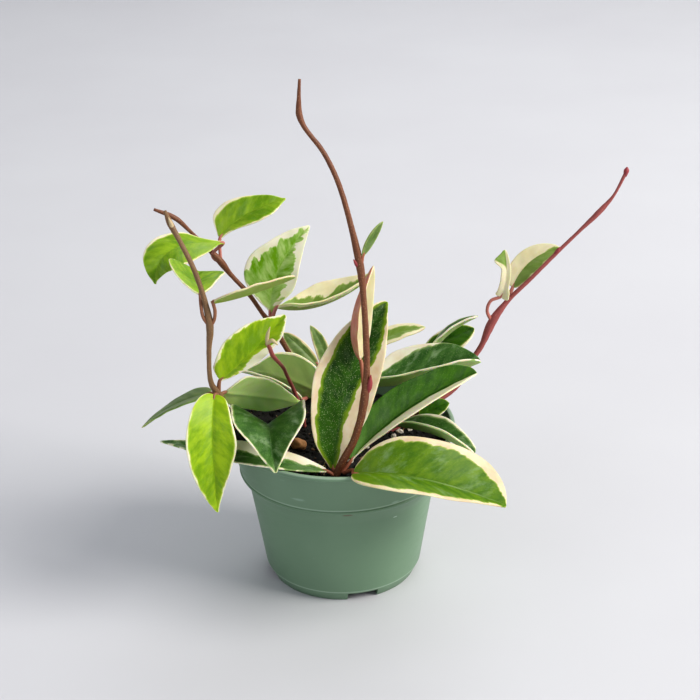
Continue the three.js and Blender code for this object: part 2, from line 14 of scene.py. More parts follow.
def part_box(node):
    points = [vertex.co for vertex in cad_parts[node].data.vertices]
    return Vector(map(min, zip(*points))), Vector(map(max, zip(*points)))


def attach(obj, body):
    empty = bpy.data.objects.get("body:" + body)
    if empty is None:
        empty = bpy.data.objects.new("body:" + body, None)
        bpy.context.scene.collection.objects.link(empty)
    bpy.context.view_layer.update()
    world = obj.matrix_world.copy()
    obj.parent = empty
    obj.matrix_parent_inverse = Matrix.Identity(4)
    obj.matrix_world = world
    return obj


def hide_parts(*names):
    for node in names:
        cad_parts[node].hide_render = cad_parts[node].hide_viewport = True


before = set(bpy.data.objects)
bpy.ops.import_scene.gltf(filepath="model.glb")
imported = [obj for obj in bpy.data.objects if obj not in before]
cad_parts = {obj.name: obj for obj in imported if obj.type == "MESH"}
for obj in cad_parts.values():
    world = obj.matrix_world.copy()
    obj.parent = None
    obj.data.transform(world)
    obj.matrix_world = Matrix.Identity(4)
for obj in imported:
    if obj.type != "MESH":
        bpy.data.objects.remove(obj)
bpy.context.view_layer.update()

MM = 0.001
POT_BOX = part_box("pot")
AXIS = Vector(((POT_BOX[0].x + POT_BOX[1].x) / 2, (POT_BOX[0].y + POT_BOX[1].y) / 2, 0))

# Camera, as the pot is seen: a long lens, a little above it
LENS = 87.4
EYE = (2.4, -715.1, 445.6)
PITCH_DEG = 24.87
YAW_DEG = 0.2
ROLL_DEG = -0.99

# Soft boxes: place and size in metres, power in watts and colour
LIT_PLACE = (0, 0, 0.1)
LAMPS = {
    "key": ((1.95, -0.65, 1.5), 1.25, 70, "fffaf4"),
    "fill": ((-1.0, -1.0, 0.8), 1.2, 3.5, "f4f7ff"),
    "back": ((0.2, 1.0, 1.2), 0.9, 5, "ffffff"),
}
SKY = "f1f2f6"
SKY_STRENGTH = 0.46

# Pot
POT_HEIGHT = 76.2
RIM_RADIUS = 54
LIP_HEIGHT = 1.8
LIP_STEP = 0.8
BAND_RADIUS = 48.2
BAND_BOTTOM = 55.4
BEAD_STEP = 0.6
NECK_RADIUS = 44.2
NECK_HEIGHT = 47
CREASE_RADIUS = 37.5
CREASE_HEIGHT = 5.6
FOOT_RADIUS = 34.9
FOOT_RING_WIDTH = 3
WALL = 1.3
FLOOR_UNDERSIDE = 2.6
FLOOR_TOP = 4
POT_SIDES = 144
SLOT_COUNT = 4
SLOT_WIDTH = 14.6
SLOT_HEIGHT = 4.6
SLOT_INNER_RADIUS = 26
FIRST_SLOT_DEG = -75.5

# Heights of the pot's edges that carry a thin painted highlight line, and how much it shows
PAINTED_HIGHLIGHT_EDGES = ((CREASE_HEIGHT, 0.5), (BAND_BOTTOM + 0.7, 0.45), (POT_HEIGHT - 0.2, 0.4))

# Marks on the pot: place, reach and colour
POT_MARKS = {
    "brown stain under the bead": ((2.6, -47.6, 53.6), 3.2, "6b5a48"),
    "pale scratch on the body": ((24.2, -36.8, 46), 1.6, "b4c6b9"),
    "rub on the band, right": ((24, -42.3, 57), 4, "8fa896"),
    "rub on the band, left": ((-19, -45.9, 61), 5, "86a08d"),
}
# Colour of the painted highlight lines on the crease, the bead and the lip
PAINTED_HIGHLIGHT = "b2c7b4"

# Soil
SOIL_TOP = 68
SOIL_BOTTOM = FLOOR_TOP + 0.3
SOIL_LUMP = 0.8
SOIL_GAP = 0.5
SOIL_BANK = 5  # height of the soil heaped against the wall on the left
SOIL_RINGS = 70
SOIL_SIDES = 160
CRUMBS = 900
CHIPS = 60
FIBRES = 26

# Leaves
BLADE_THICK = 1.2
BLADE_EDGE = 0.8
BLADE_ROWS = 56
SECTION = (0, 0.05, 0.11, 0.18, 0.26, 0.35, 0.45, 0.55, 0.65, 0.75, 0.84, 0.91, 0.96, 0.985, 1)
RIM_SHARE = 0.93  # where the edge of a blade starts to round over
BASE_HALF_WIDTH = 0.9
TIP_HALF_WIDTH = 0.3
GROOVE_DEPTH = 0.35  # along the midrib, on the upper side
GROOVE_WIDTH = 1.1
RIDGE_HEIGHT = 0.45  # along the midrib, on the underside
VEIN_SPACING = 8
VEIN_SLANT = 0.8  # how far a side vein runs towards the tip for each mm out
VEIN_PILLOW = 0.09
STALK_RADIUS = 0.78

# Vines: each point is [x, y, z, radius], from its foot inside the soil to the tip.
VINES = {
    "front_vine": {"slot": "bark", "points": (
        (-3, -37, 60, 1.7), (-2.5, -36.5, 68, 1.75), (0.5, -36, 75, 1.75),
        (5.5, -34.5, 84, 1.7), (9, -33.5, 95, 1.75), (11, -33, 106, 1.95),
        (12, -32, 116, 1.5), (12, -31, 132, 1.45), (11, -29, 155, 1.4), (10, -28, 166, 1.8),
        (6, -26, 186, 1.3), (1, -23, 204, 1.15), (-5, -21, 217, 1.1), (-13, -19, 228, 1.1),
        (-15, -18, 233, 1.4), (-15, -17, 240, 0.9), (-14.5, -16, 248, 0.6))},
    "back_vine": {"slot": "bark", "points": (
        (-13, 41, 60, 1.6), (-14, 41, 68, 1.4), (-19, 40, 82, 1.3), (-26, 38, 98, 1.25),
        (-33, 35, 113, 1.6), (-36, 35, 117, 1.15), (-43, 32, 130, 1.1), (-51, 30, 141, 1.15),
        (-55, 28, 148, 1.7), (-62, 27, 157, 0.9), (-68, 26, 164, 0.85), (-75, 24, 172, 1.2),
        (-84, 22, 177, 0.7))},
    "left_vine": {"slot": "olive_stem", "points": (
        (-40, 1, 60, 1.6), (-42, -2, 68, 1.5), (-50, -13, 86, 1.4), (-55, -24, 104, 1.8),
        (-58, -27, 112, 1.2), (-58, -28, 128, 1.15), (-57, -28, 140, 1.7), (-59, -27, 153, 1.2),
        (-63, -26, 167, 1.15), (-69, -25, 181, 1.15), (-72, -24, 187, 1.4), (-74, -24, 193, 0.7))},
    "red_shoot": {"slot": "red_stem", "points": (
        (-17, 13, 60, 0.95), (-17.5, 12.5, 68, 0.95), (-19, 11, 79, 0.9), (-22, 8, 90, 0.9),
        (-24.5, 0, 101, 0.85), (-26, -9, 110, 0.85), (-28, -18, 117.5, 0.9),
        (-30, -25, 124, 1.0), (-31, -28, 129, 0.95), (-32, -30, 132, 0.9))},
    "right_vine": {"slot": "red_stem", "points": (
        (10, -4, 60, 1.5), (15, 0, 66, 1.5), (28, 9, 70, 1.5), (40, 16, 75.5, 1.5),
        (51, 20, 80, 1.4), (58, 22, 86, 1.3), (63, 23, 96, 1.3), (68, 24, 104, 1.35),
        (73, 25, 116, 2.1), (80, 26, 126, 1.2), (91, 27, 137, 0.95), (103, 29, 149, 0.9),
        (114, 30, 160, 0.85), (123, 31, 169, 1.3), (129, 32, 176, 0.7), (134, 33, 186, 0.8))},
    "middle_shoot": {"slot": "bark", "points": (
        (8, 32, 60, 1.6), (8, 32, 68, 1.6), (9, 31, 82, 1.5), (10, 31, 94, 1.9))},
}

# Buds and young leaf tips, by vine: three places along each, and its radius
BUDS = {
    "front_vine": (
        ((12, -33, 107), (13.4, -33.5, 112.7), (13.9, -33.5, 117.2), 1.2),
        ((9.5, -28.2, 166), (8.2, -28.6, 168.6), (7, -29, 170.8), 0.9)),
    "red_shoot": (
        ((-32, -30, 131), (-31.6, -30.5, 136), (-30.3, -31, 140.4), 0.9),
        ((-32, -30, 131.5), (-29.6, -31, 133.8), (-27, -32, 132), 0.9)),
    "left_vine": (
        ((-71.2, -24, 183), (-71.5, -24.8, 187), (-72.5, -25.5, 190.4), 1.0),),
    "right_vine": (
        ((101.5, 29, 147.6), (103.6, 28.6, 150.6), (104.6, 28.4, 152.2), 0.9),
        ((134, 33, 185), (134.6, 33, 188), (134.8, 33, 189.5), 1.2)),
}

# Leaves: base, middle and tip lie on the midrib, and face is the way the upper side looks. half
# is the half width to the left and to the right, seen from the upper side with the tip up, and
# powers shape the outline. outline gives instead the half widths of both sides at seven places,
# closer together at both ends. fold lifts both halves from the midrib and curl bends them on
# towards the margins, in degrees. stalk runs from the vine to the base. green is how far the
# green reaches to the left and to the right, as a share of the half width at five places from
# the base to the tip: the rest is cream. jag is how ragged the edge of the green is, and wave
# is the height of the margin's waves. under is the look of the underside where it is another,
# and slot the material slot where it isn't the usual one of the look.
LEAVES = {
    "leaf_front_upright": dict(
        vine="front_vine", look="dark",
        base=(-4, -33, 70), middle=(4, -20, 108), tip=(22, -9, 142), face=(0.2, -0.9, 0.3),
        outline=((4, 11, 15.5, 18, 15.5, 10, 4.5), (4, 7.5, 12.5, 13.5, 12, 7.5, 2.5)),
        fold=14, curl=8, jag=0.7, wave=0.5,
        stalk=((-1, -36, 66),),
        green=((1, 0.84, 0.78, 0.8, 0.95), (0.6, 0.28, 0.45, 0.75, 1))),
    "leaf_front_right": dict(
        vine="front_vine", look="green",
        base=(5.5, -52, 77.6), middle=(36, -58, 77), tip=(74, -48, 57), face=(0.1, -0.46, 0.88),
        outline=((5.5, 12.5, 17.5, 19, 19, 16, 9.5), (7, 12.5, 15, 14, 11, 6, 2.5)),
        fold=32, curl=-6, jag=0.9, wave=0.4,
        stalk=((1, -36, 69), (5, -44, 75)),
        green=((0.88, 0.88, 0.88, 0.8, 0.5), (0.85, 0.88, 0.86, 0.86, 0.9))),
    "leaf_right_dark": dict(
        vine="front_vine", look="deep",
        base=(4.5, -33, 74), middle=(30, -14, 89.5), tip=(64, 0, 101), face=(-0.23, -0.5, 0.85),
        outline=((3.5, 7.5, 11, 12, 10.5, 9, 5), (1, 4, 10, 13, 12, 8, 2.5)),
        fold=40, curl=4, jag=0.4, wave=0.4,
        stalk=((0, -36, 69),),
        green=((1.1, 1.1, 1.1, 1.1, 1.1), (0.4, 0.34, 0.3, 0.36, 0.5))),
    "leaf_over_rim_left": dict(
        vine="front_vine", look="sheen_painted", slot="leaf_green",
        base=(-7, -38, 71.5), middle=(-47, -35, 79), tip=(-84, -15, 76), face=(0, -0.1, 0.96),
        outline=((3, 6, 8.5, 9, 6.5, 3, 1), (3, 6, 8.5, 9, 6, 3.5, 1.5)),
        fold=14, curl=0, jag=0.9, wave=0.4,
        stalk=((-1, -36, 66),),
        green=((1.1, 0.97, 0.95, 1.05, 1.1), (0.3, 0.25, 0.25, 0.75, 1.1))),
    "leaf_young_pink": dict(
        vine="front_vine", look="cream", under="pink",
        base=(9.5, -21, 119), middle=(6.5, -19, 137.5), tip=(16, -15, 162), face=(0.8, -0.5, 0.2),
        half=(9, 9), powers=(0.6, 0.7),
        fold=50, curl=0, jag=1, wave=0.3,
        stalk=((11, -33, 107),),
        green=((0, 0, 0, 0, 0), (0, 0.1, 0.1, 0, 0))),
    "leaf_young_olive": dict(
        vine="front_vine", look="sage",
        base=(11, -28, 172), middle=(15, -27, 180), tip=(20, -26, 187), face=(0.5, -0.8, 0.2),
        half=(2.2, 2.2), powers=(0.6, 0.7),
        fold=20, curl=0, jag=0.4, wave=0,
        stalk=((10, -28, 166),),
        green=((1.1, 1.1, 1.1, 1.1, 1.1), (1.1, 1.1, 1.1, 1.1, 1.1))),
    "leaf_right_folded": dict(
        vine="middle_shoot", look="sheen_painted",
        base=(10, 15, 89), middle=(36, 13.5, 91), tip=(67, 15, 100), face=(0, 0.12, 0.98),
        outline=((3, 9.5, 17, 19, 18, 14.5, 7), (3.5, 7, 9.5, 10, 10.5, 9.5, 5)),
        fold=50, curl=-5, jag=0.7, wave=0.4,
        stalk=((9, 31, 86),),
        green=((0.4, 0.55, 0.8, 0.97, 1.1), (0.9, 0.9, 0.92, 0.92, 0.95))),
    "leaf_behind_pale": dict(
        vine="middle_shoot", look="cream",
        base=(12, 36, 97.5), middle=(26, 38, 104), tip=(42, 41, 106.5), face=(-0.1, -0.3, 0.95),
        half=(6, 6), powers=(0.6, 0.7),
        fold=12, curl=0, jag=0.7, wave=0.3,
        stalk=((10, 31, 94),),
        green=((0.8, 0.75, 0.7, 0.6, 0.3), (0.8, 0.75, 0.7, 0.6, 0.3))),
    "leaf_behind_arched": dict(
        vine="middle_shoot", look="sheen_painted",
        base=(44, 32.5, 96), middle=(53, 33.5, 107), tip=(67, 36.5, 114), face=(-0.3, 0.3, 0.95),
        half=(7, 7), powers=(0.6, 0.7),
        fold=20, curl=0, jag=0.4, wave=0.3,
        stalk=((10, 31, 91),),
        green=((0.9, 0.9, 0.9, 0.9, 0.9), (0.9, 0.9, 0.9, 0.9, 0.9))),
    "leaf_behind_wide": dict(
        vine="middle_shoot", look="deep",
        base=(40, 37, 92), middle=(52, 40, 99.5), tip=(66, 43, 104.5), face=(-0.1, -0.6, 0.8),
        half=(6, 9), powers=(0.6, 0.6),
        fold=10, curl=0, jag=0.4, wave=0.3,
        stalk=((10, 31, 88),),
        green=((0.9, 0.9, 0.9, 0.9, 0.9), (0.9, 0.85, 0.85, 0.85, 0.8))),
    "leaf_hanging_bright": dict(
        vine="left_vine", look="bright",
        base=(-56.5, -30, 107), middle=(-57.5, -44, 89), tip=(-56, -49, 57.5), face=(0.1, -0.9, 0.35),
        outline=((5, 7.5, 9.5, 11.5, 8.5, 4, 1), (5.5, 9, 11.5, 12.5, 10.5, 6.5, 2.5)),
        fold=20, curl=0, jag=0.4, wave=0.5,
        stalk=((-55, -24, 104),),
        green=((0.97, 0.95, 0.94, 0.94, 0.92), (0.97, 0.95, 0.93, 0.93, 0.92))),
    "leaf_upper_bright": dict(
        vine="left_vine", look="bright",
        base=(-54, -25, 112), middle=(-41.5, -22, 122), tip=(-24, -15, 139), face=(0, -0.9, 0.3),
        outline=((6.5, 9, 12, 13.5, 12.5, 8, 2.5), (1, 2, 3.5, 5.5, 6.5, 6, 2.5)),
        fold=26, curl=0, jag=1.3, wave=0.5,
        stalk=((-55, -24, 104),),
        green=((0.9, 0.88, 0.9, 0.93, 0.95), (0.8, 0.8, 0.5, 0.75, 0.9))),
    "leaf_front_arched": dict(
        vine="left_vine", look="sheen_painted",
        base=(-34, 0, 74), middle=(-33, -27, 87), tip=(-29, -58, 82), face=(0, -0.2, 0.95),
        outline=((9, 16, 20.5, 21, 19.5, 9, 2.5), (8.5, 15, 19.5, 20, 18.5, 9.5, 3)),
        fold=34, curl=0, jag=0.4, wave=0.5,
        stalk=((-42, -2, 70),),
        green=((0.97, 0.965, 0.96, 0.95, 0.95), (0.97, 0.965, 0.96, 0.95, 0.95))),
    "leaf_left_sage": dict(
        vine="left_vine", look="sheen_painted", under="splashed", slot="leaf_sage",
        base=(-52, -21, 104), middle=(-38, -8, 95.5), tip=(-19, 2, 87), face=(0.1, 0.95, 0.08),
        outline=((4.5, 7, 9, 9.5, 9, 6, 2.5), (8, 11, 11.5, 10.5, 7.5, 4, 1)),
        fold=2, curl=0, jag=0.4, wave=0.4,
        stalk=((-55, -24, 104),),
        green=((0.9, 0.93, 0.93, 0.93, 0.9), (0.9, 0.93, 0.93, 0.93, 0.9))),
    "leaf_left_drooping": dict(
        vine="left_vine", look="sage",
        base=(-59, -20, 103), middle=(-76, -18, 96), tip=(-92, -16, 84), face=(0, 0.1, 0.95),
        half=(10, 10), powers=(0.4, 0.8),
        fold=6, curl=0, jag=0.4, wave=0.3,
        stalk=((-55, -24, 104),),
        green=((1.1, 1.1, 1.1, 1.1, 1.1), (1.1, 1.1, 1.1, 1.1, 1.1))),
    "leaf_left_short": dict(
        vine="left_vine", look="fresh", slot="leaf_bright",
        base=(-61, -22, 153), middle=(-63, -11, 154), tip=(-63, -1, 155), face=(0.22, -0.2, 0.95),
        outline=((3, 6, 9, 12, 14, 15, 11), (3, 5.5, 8, 10, 11.5, 12.5, 9)),
        fold=20, curl=0, jag=0.4, wave=0.4,
        stalk=((-57, -28, 140), (-59.7, -28.2, 144.5), (-60.4, -27.5, 149)),
        green=((0.97, 0.96, 0.96, 0.97, 0.98), (0.94, 0.95, 0.96, 0.97, 0.98))),
    "leaf_left_narrow": dict(
        vine="left_vine", look="green", slot="leaf_sage",
        base=(-54.8, -28.5, 152), middle=(-39, -22, 153), tip=(-19, -16, 158), face=(-0.1, 0.5, 0.85),
        outline=((7, 11, 13, 13, 11, 8, 4), (7, 11, 13, 13, 11, 8, 4)),
        fold=6, curl=0, jag=0.4, wave=0.3,
        stalk=((-57, -28, 140), (-55, -28.4, 143), (-54.3, -28.8, 147.5)),
        green=((0.9, 0.9, 0.9, 0.9, 0.9), (0.9, 0.9, 0.9, 0.9, 0.9))),
    "leaf_top_left": dict(
        vine="back_vine", look="fresh",
        base=(-53, 22, 160), middle=(-76, 8, 162), tip=(-83, 0, 149), face=(-0.1, -0.5, 0.85),
        outline=((1.5, 7, 11.5, 12.5, 10.5, 5, 1), (1, 2.5, 7.5, 10, 9.5, 5, 1.5)),
        fold=8, curl=0, jag=0.5, wave=0.5,
        stalk=((-55, 28, 148), (-58, 28, 149.6), (-58.8, 27, 152.6), (-57, 25.5, 155)),
        green=((1, 0.98, 0.97, 0.98, 1.1), (0.95, 0.88, 0.85, 0.95, 1.1))),
    "leaf_top": dict(
        vine="back_vine", look="fresh",
        base=(-55, 31, 159), middle=(-42, 35, 169), tip=(-24, 39, 175), face=(0, -0.6, 0.8),
        outline=((3.5, 10, 11.5, 10, 7, 4, 1), (1, 2, 4, 6.5, 7, 5, 1.5)),
        fold=8, curl=0, jag=0.5, wave=0.4,
        stalk=((-55, 28, 148), (-55.2, 29, 151)),
        green=((0.8, 0.82, 0.9, 1, 1.1), (0.88, 0.9, 0.9, 0.95, 1.1))),
    "leaf_variegated": dict(
        vine="back_vine", look="splashed",
        base=(-33, 32, 120), middle=(-27.5, 31, 143), tip=(-13, 34, 163), face=(0, -0.9, 0.3),
        outline=((1.5, 7, 14.5, 15.5, 10.5, 6, 2), (2.5, 5.5, 9.5, 9.5, 7, 4, 1.5)),
        fold=8, curl=0, jag=2.4, wave=0.5,
        stalk=((-33, 35, 113),),
        green=((0.6, 0.9, 0.8, 0.66, 0.55), (0.5, 0.66, 0.72, 0.3, 0.5))),
    "leaf_cream_folded": dict(
        vine="back_vine", look="cream",
        base=(-29, 27, 125), middle=(-7, 30, 125), tip=(17, 34, 138), face=(0, -0.1, 0.98),
        outline=((2, 5.5, 9, 11, 9.5, 6, 2.5), (6, 9, 9.5, 8, 7, 5, 2)),
        fold=45, curl=0, jag=1.5, wave=0.4,
        stalk=((-33, 35, 113),),
        green=((0.75, 0.72, 0.35, 0.55, 0.6), (0.65, 0.6, 0.55, 0.5, 0.4))),
    "leaf_back_sage": dict(
        vine="back_vine", look="sheen_painted", slot="leaf_sage",
        base=(-10, 31, 77), middle=(-27, 30, 86), tip=(-46, 30, 90), face=(0, 0.95, 0.15),
        outline=((3, 9.5, 13, 14.5, 12, 5.5, 1.5), (4.5, 8, 7, 4.5, 2, 1, 0.5)),
        fold=5, curl=0, jag=0.4, wave=0.4,
        stalk=((-16, 41, 70),),
        green=((0.9, 0.93, 0.93, 0.93, 0.9), (0.9, 0.93, 0.93, 0.93, 0.9))),
    "leaf_back_dark": dict(
        vine="back_vine", look="sage", slot="leaf_dark",
        base=(-11, 46, 85), middle=(-20, 48, 95), tip=(-27.5, 50, 101), face=(0.3, -0.9, 0.3),
        half=(6, 3), powers=(0.5, 0.7),
        fold=8, curl=0, jag=0.4, wave=0.3,
        stalk=((-16, 41, 70),),
        green=((0.85, 0.85, 0.85, 0.85, 0.85), (0.8, 0.75, 0.75, 0.75, 0.8))),
    "leaf_back_pointed": dict(
        vine="back_vine", look="sage",
        base=(-6, 34, 86), middle=(-8, 36, 99), tip=(-14, 38, 110), face=(0.3, -0.9, 0.3),
        half=(4.5, 2.8), powers=(0.6, 0.7),
        fold=8, curl=0, jag=0.4, wave=0.2,
        stalk=((-16, 41, 70),),
        green=((0.95, 0.95, 0.95, 0.95, 0.95), (0.8, 0.8, 0.8, 0.85, 0.95))),
    "leaf_back_edge_on": dict(
        vine="back_vine", look="sheen_painted", slot="leaf_cream",
        base=(-19, 20, 79.5), middle=(-34, 18, 91), tip=(-49, 16, 97), face=(0.2, 0.42, 0.9),
        half=(7, 7), powers=(0.5, 0.7),
        fold=6, curl=0, jag=0.4, wave=0.3,
        stalk=((-16, 41, 70),),
        green=((0.45, 0.45, 0.45, 0.45, 0.45), (0.45, 0.45, 0.45, 0.45, 0.45))),
    "leaf_right_low": dict(
        vine="right_vine", look="sheen_painted",
        base=(27, -3, 76), middle=(45, -19, 79), tip=(61, -28, 73), face=(0, 0.1, 0.98),
        outline=((3, 6.5, 9, 9.5, 7.5, 5.5, 3.5), (3, 6, 9, 11, 10, 6, 3.5)),
        fold=45, curl=0, jag=0.4, wave=0.3,
        stalk=((28, 9, 70),),
        green=((0.9, 0.88, 0.88, 0.88, 0.9), (0.9, 0.88, 0.88, 0.88, 0.9))),
    "leaf_right_shaded": dict(
        vine="right_vine", look="deep",
        base=(38, 7, 74), middle=(45, 9, 78.5), tip=(52, 11, 80), face=(0, -0.6, 0.8),
        half=(5, 5), powers=(0.5, 0.7),
        fold=8, curl=0, jag=0.4, wave=0.3,
        stalk=((34, 13, 72.5),),
        green=((0.95, 0.95, 0.95, 0.95, 0.95), (0.95, 0.95, 0.95, 0.95, 0.95))),
    "leaf_curled_cream": dict(
        vine="right_vine", look="cream",
        base=(76.5, 23.5, 129.5), middle=(79, 22, 140), tip=(78, 24, 153), face=(0, -0.9, 0.3),
        outline=((3, 3, 3, 3, 3, 6, 2), (4, 3.5, 2, 2, 2, 1.5, 1)),
        fold=20, curl=0, jag=0.4, wave=0.3,
        stalk=((73, 25, 116), (70.4, 24, 122), (72, 23.5, 127.5)),
        green=((-0.3, -0.3, -0.3, 0.4, 1.6), (-0.3, -0.3, -0.3, -0.3, 0.3))),
    "leaf_right_pink": dict(
        vine="right_vine", look="cream",
        base=(83, 31, 131), middle=(92, 36, 142), tip=(106, 38, 148), face=(-0.3, -0.7, 0.6),
        half=(7, 7), powers=(0.5, 0.7),
        fold=15, curl=0, jag=0.8, wave=0.3,
        stalk=((80, 26, 126),),
        green=((-0.3, -0.3, -0.2, 0.1, 0.8), (0.9, 0.9, 0.9, 0.95, 1))),
}

# Pebble and perlite that lie on the soil: place and half sizes.
PEBBLES = {
    "pebble": ("pebble", (-20, -9, 70), (4, 3, 2.6)),
    "perlite_1": ("perlite", (28, 5, 68.6), (1.6, 1.3, 1.2)),
    "perlite_2": ("perlite", (25, 0, 68.6), (1.2, 1.4, 1.1)),
    "perlite_3": ("perlite", (33, 7, 68.6), (1.5, 1.2, 1.1)),
    "perlite_4": ("perlite", (12, -11, 68.6), (1.3, 1.1, 1.0)),
    "perlite_5": ("perlite", (4, -24, 68.6), (1.6, 1.3, 1.1)),
}

# Colours of the leaves, as sRGB: deep is the blade, light the paler clouds in it, between the
# strip that joins green and cream, cream and blush the margin, and under the underside of the
# green. strip is the width of that strip in mm. clouds, flecks and the painted sheen, a silvery
# reflection painted onto the upper side, are amounts.
LOOKS = {
    "bright": dict(deep="709703", light="a3c01c", between="b9cb52", cream="e9e7cf",
                   blush="dcdcae", under="9db060", flecks=0.1, painted_sheen=0.15, clouds=0.8,
                   strip=0.9),
    "fresh": dict(deep="608806", light="93b128", between="aec05a", cream="e6e2c6",
                  blush="d8ccaa", under="97ab58", flecks=0.1, painted_sheen=0.25, clouds=0.8,
                  strip=0.9),
    "green": dict(deep="436a06", light="729116", between="98aa4c", cream="d6cbaa",
                  blush="ccb494", under="97ab58", flecks=0.12, painted_sheen=0.6, clouds=0.6,
                  strip=1),
    "dark": dict(deep="1d4404", light="3f700e", between="7d9a1c", cream="e0d5ba",
                 blush="d6c09c", under="8aa05c", flecks=0.9, painted_sheen=0.25, clouds=0.65,
                 strip=2.6),
    "deep": dict(deep="244e02", light="4c7e08", between="879a3c", cream="dfdac0",
                 blush="d2cca8", under="8aa05c", flecks=0.12, painted_sheen=0.12, clouds=0.5,
                 strip=1),
    # Dark green leaves with much painted sheen, a silvery reflection painted onto the upper side, and
    # some silvery flecks
    "sheen_painted": dict(deep="2c5518", light="587f3c", between="8fa568", cream="e2dfca",
                     blush="d9cfb2", under="9db070", flecks=0.35, painted_sheen=0.9, clouds=0.6,
                     strip=1.2),
    "sage": dict(deep="567238", light="869b5c", between="a0ad70", cream="dccfae",
                 blush="cdb592", under="8b9f5c", flecks=0.1, painted_sheen=0.3, clouds=0.6,
                 strip=1),
    "splashed": dict(deep="6b9c06", light="b9d286", between="b9cc84", cream="e9e6d0",
                     blush="dedcba", under="bccb90", flecks=0.0, painted_sheen=0.0, clouds=0.8,
                     strip=0.8),
    "cream": dict(deep="6d8a34", light="93a962", between="b4bf7a", cream="e0d8b8",
                  blush="d4cca4", under="8fa252", flecks=0.0, painted_sheen=0.2, clouds=0.5,
                  strip=0.9),
}
PINK_UNDERSIDE = "b9796a"
# Colour of the painted sheen: a silvery reflection painted onto the upper side of the leaves
PAINTED_SHEEN = "90a880"
SILVER_FLECK = "b0c48e"

# ShaderNodeMix: its colour sockets, which share their names with others
FACTOR, FIRST, SECOND, MIXED = 0, 6, 7, 2


def linear(colour):
    """An sRGB hex value as linear red, green, blue and alpha."""
    parts = [int(colour[i:i + 2], 16) / 255 for i in (0, 2, 4)]
    return [p / 12.92 if p <= 0.04045 else ((p + 0.055) / 1.055) ** 2.4 for p in parts] + [1]


def lerp(a, b, t):
    return a + (b - a) * t


def place(point):
    """A point of the tables, in metres in the frame of the part."""
    return Vector(point[:3]) * MM + AXIS


def smooth_value(values, t):
    """Value at t, from 0 to 1, of a smooth curve through values at equal steps."""
    x = t * (len(values) - 1)
    i = min(int(x), len(values) - 2)
    f = x - i
    a, b = values[i], values[i + 1]
    before = values[i - 1] if i else 2 * a - b
    after = values[i + 2] if i + 2 < len(values) else 2 * b - a
    rise, leave = (b - before) / 2, (after - a) / 2
    return a + f * (rise + f * (3 * (b - a) - 2 * rise - leave + f * (rise + leave - 2 * (b - a))))


# Materials

def new_material(name):
    material = bpy.data.materials.new(name)
    material.use_nodes = True
    tree = material.node_tree
    return material, tree, tree.nodes["Principled BSDF"]


def add(tree, kind, inputs, **settings):
    """Adds a node with its settings. inputs gives a value or another node's output by socket."""
    made = tree.nodes.new(kind)
    for name, value in settings.items():
        setattr(made, name, value)
    for socket, value in inputs.items():
        if isinstance(value, bpy.types.NodeSocket):
            tree.links.new(value, made.inputs[socket])
        else:
            made.inputs[socket].default_value = value
    return made


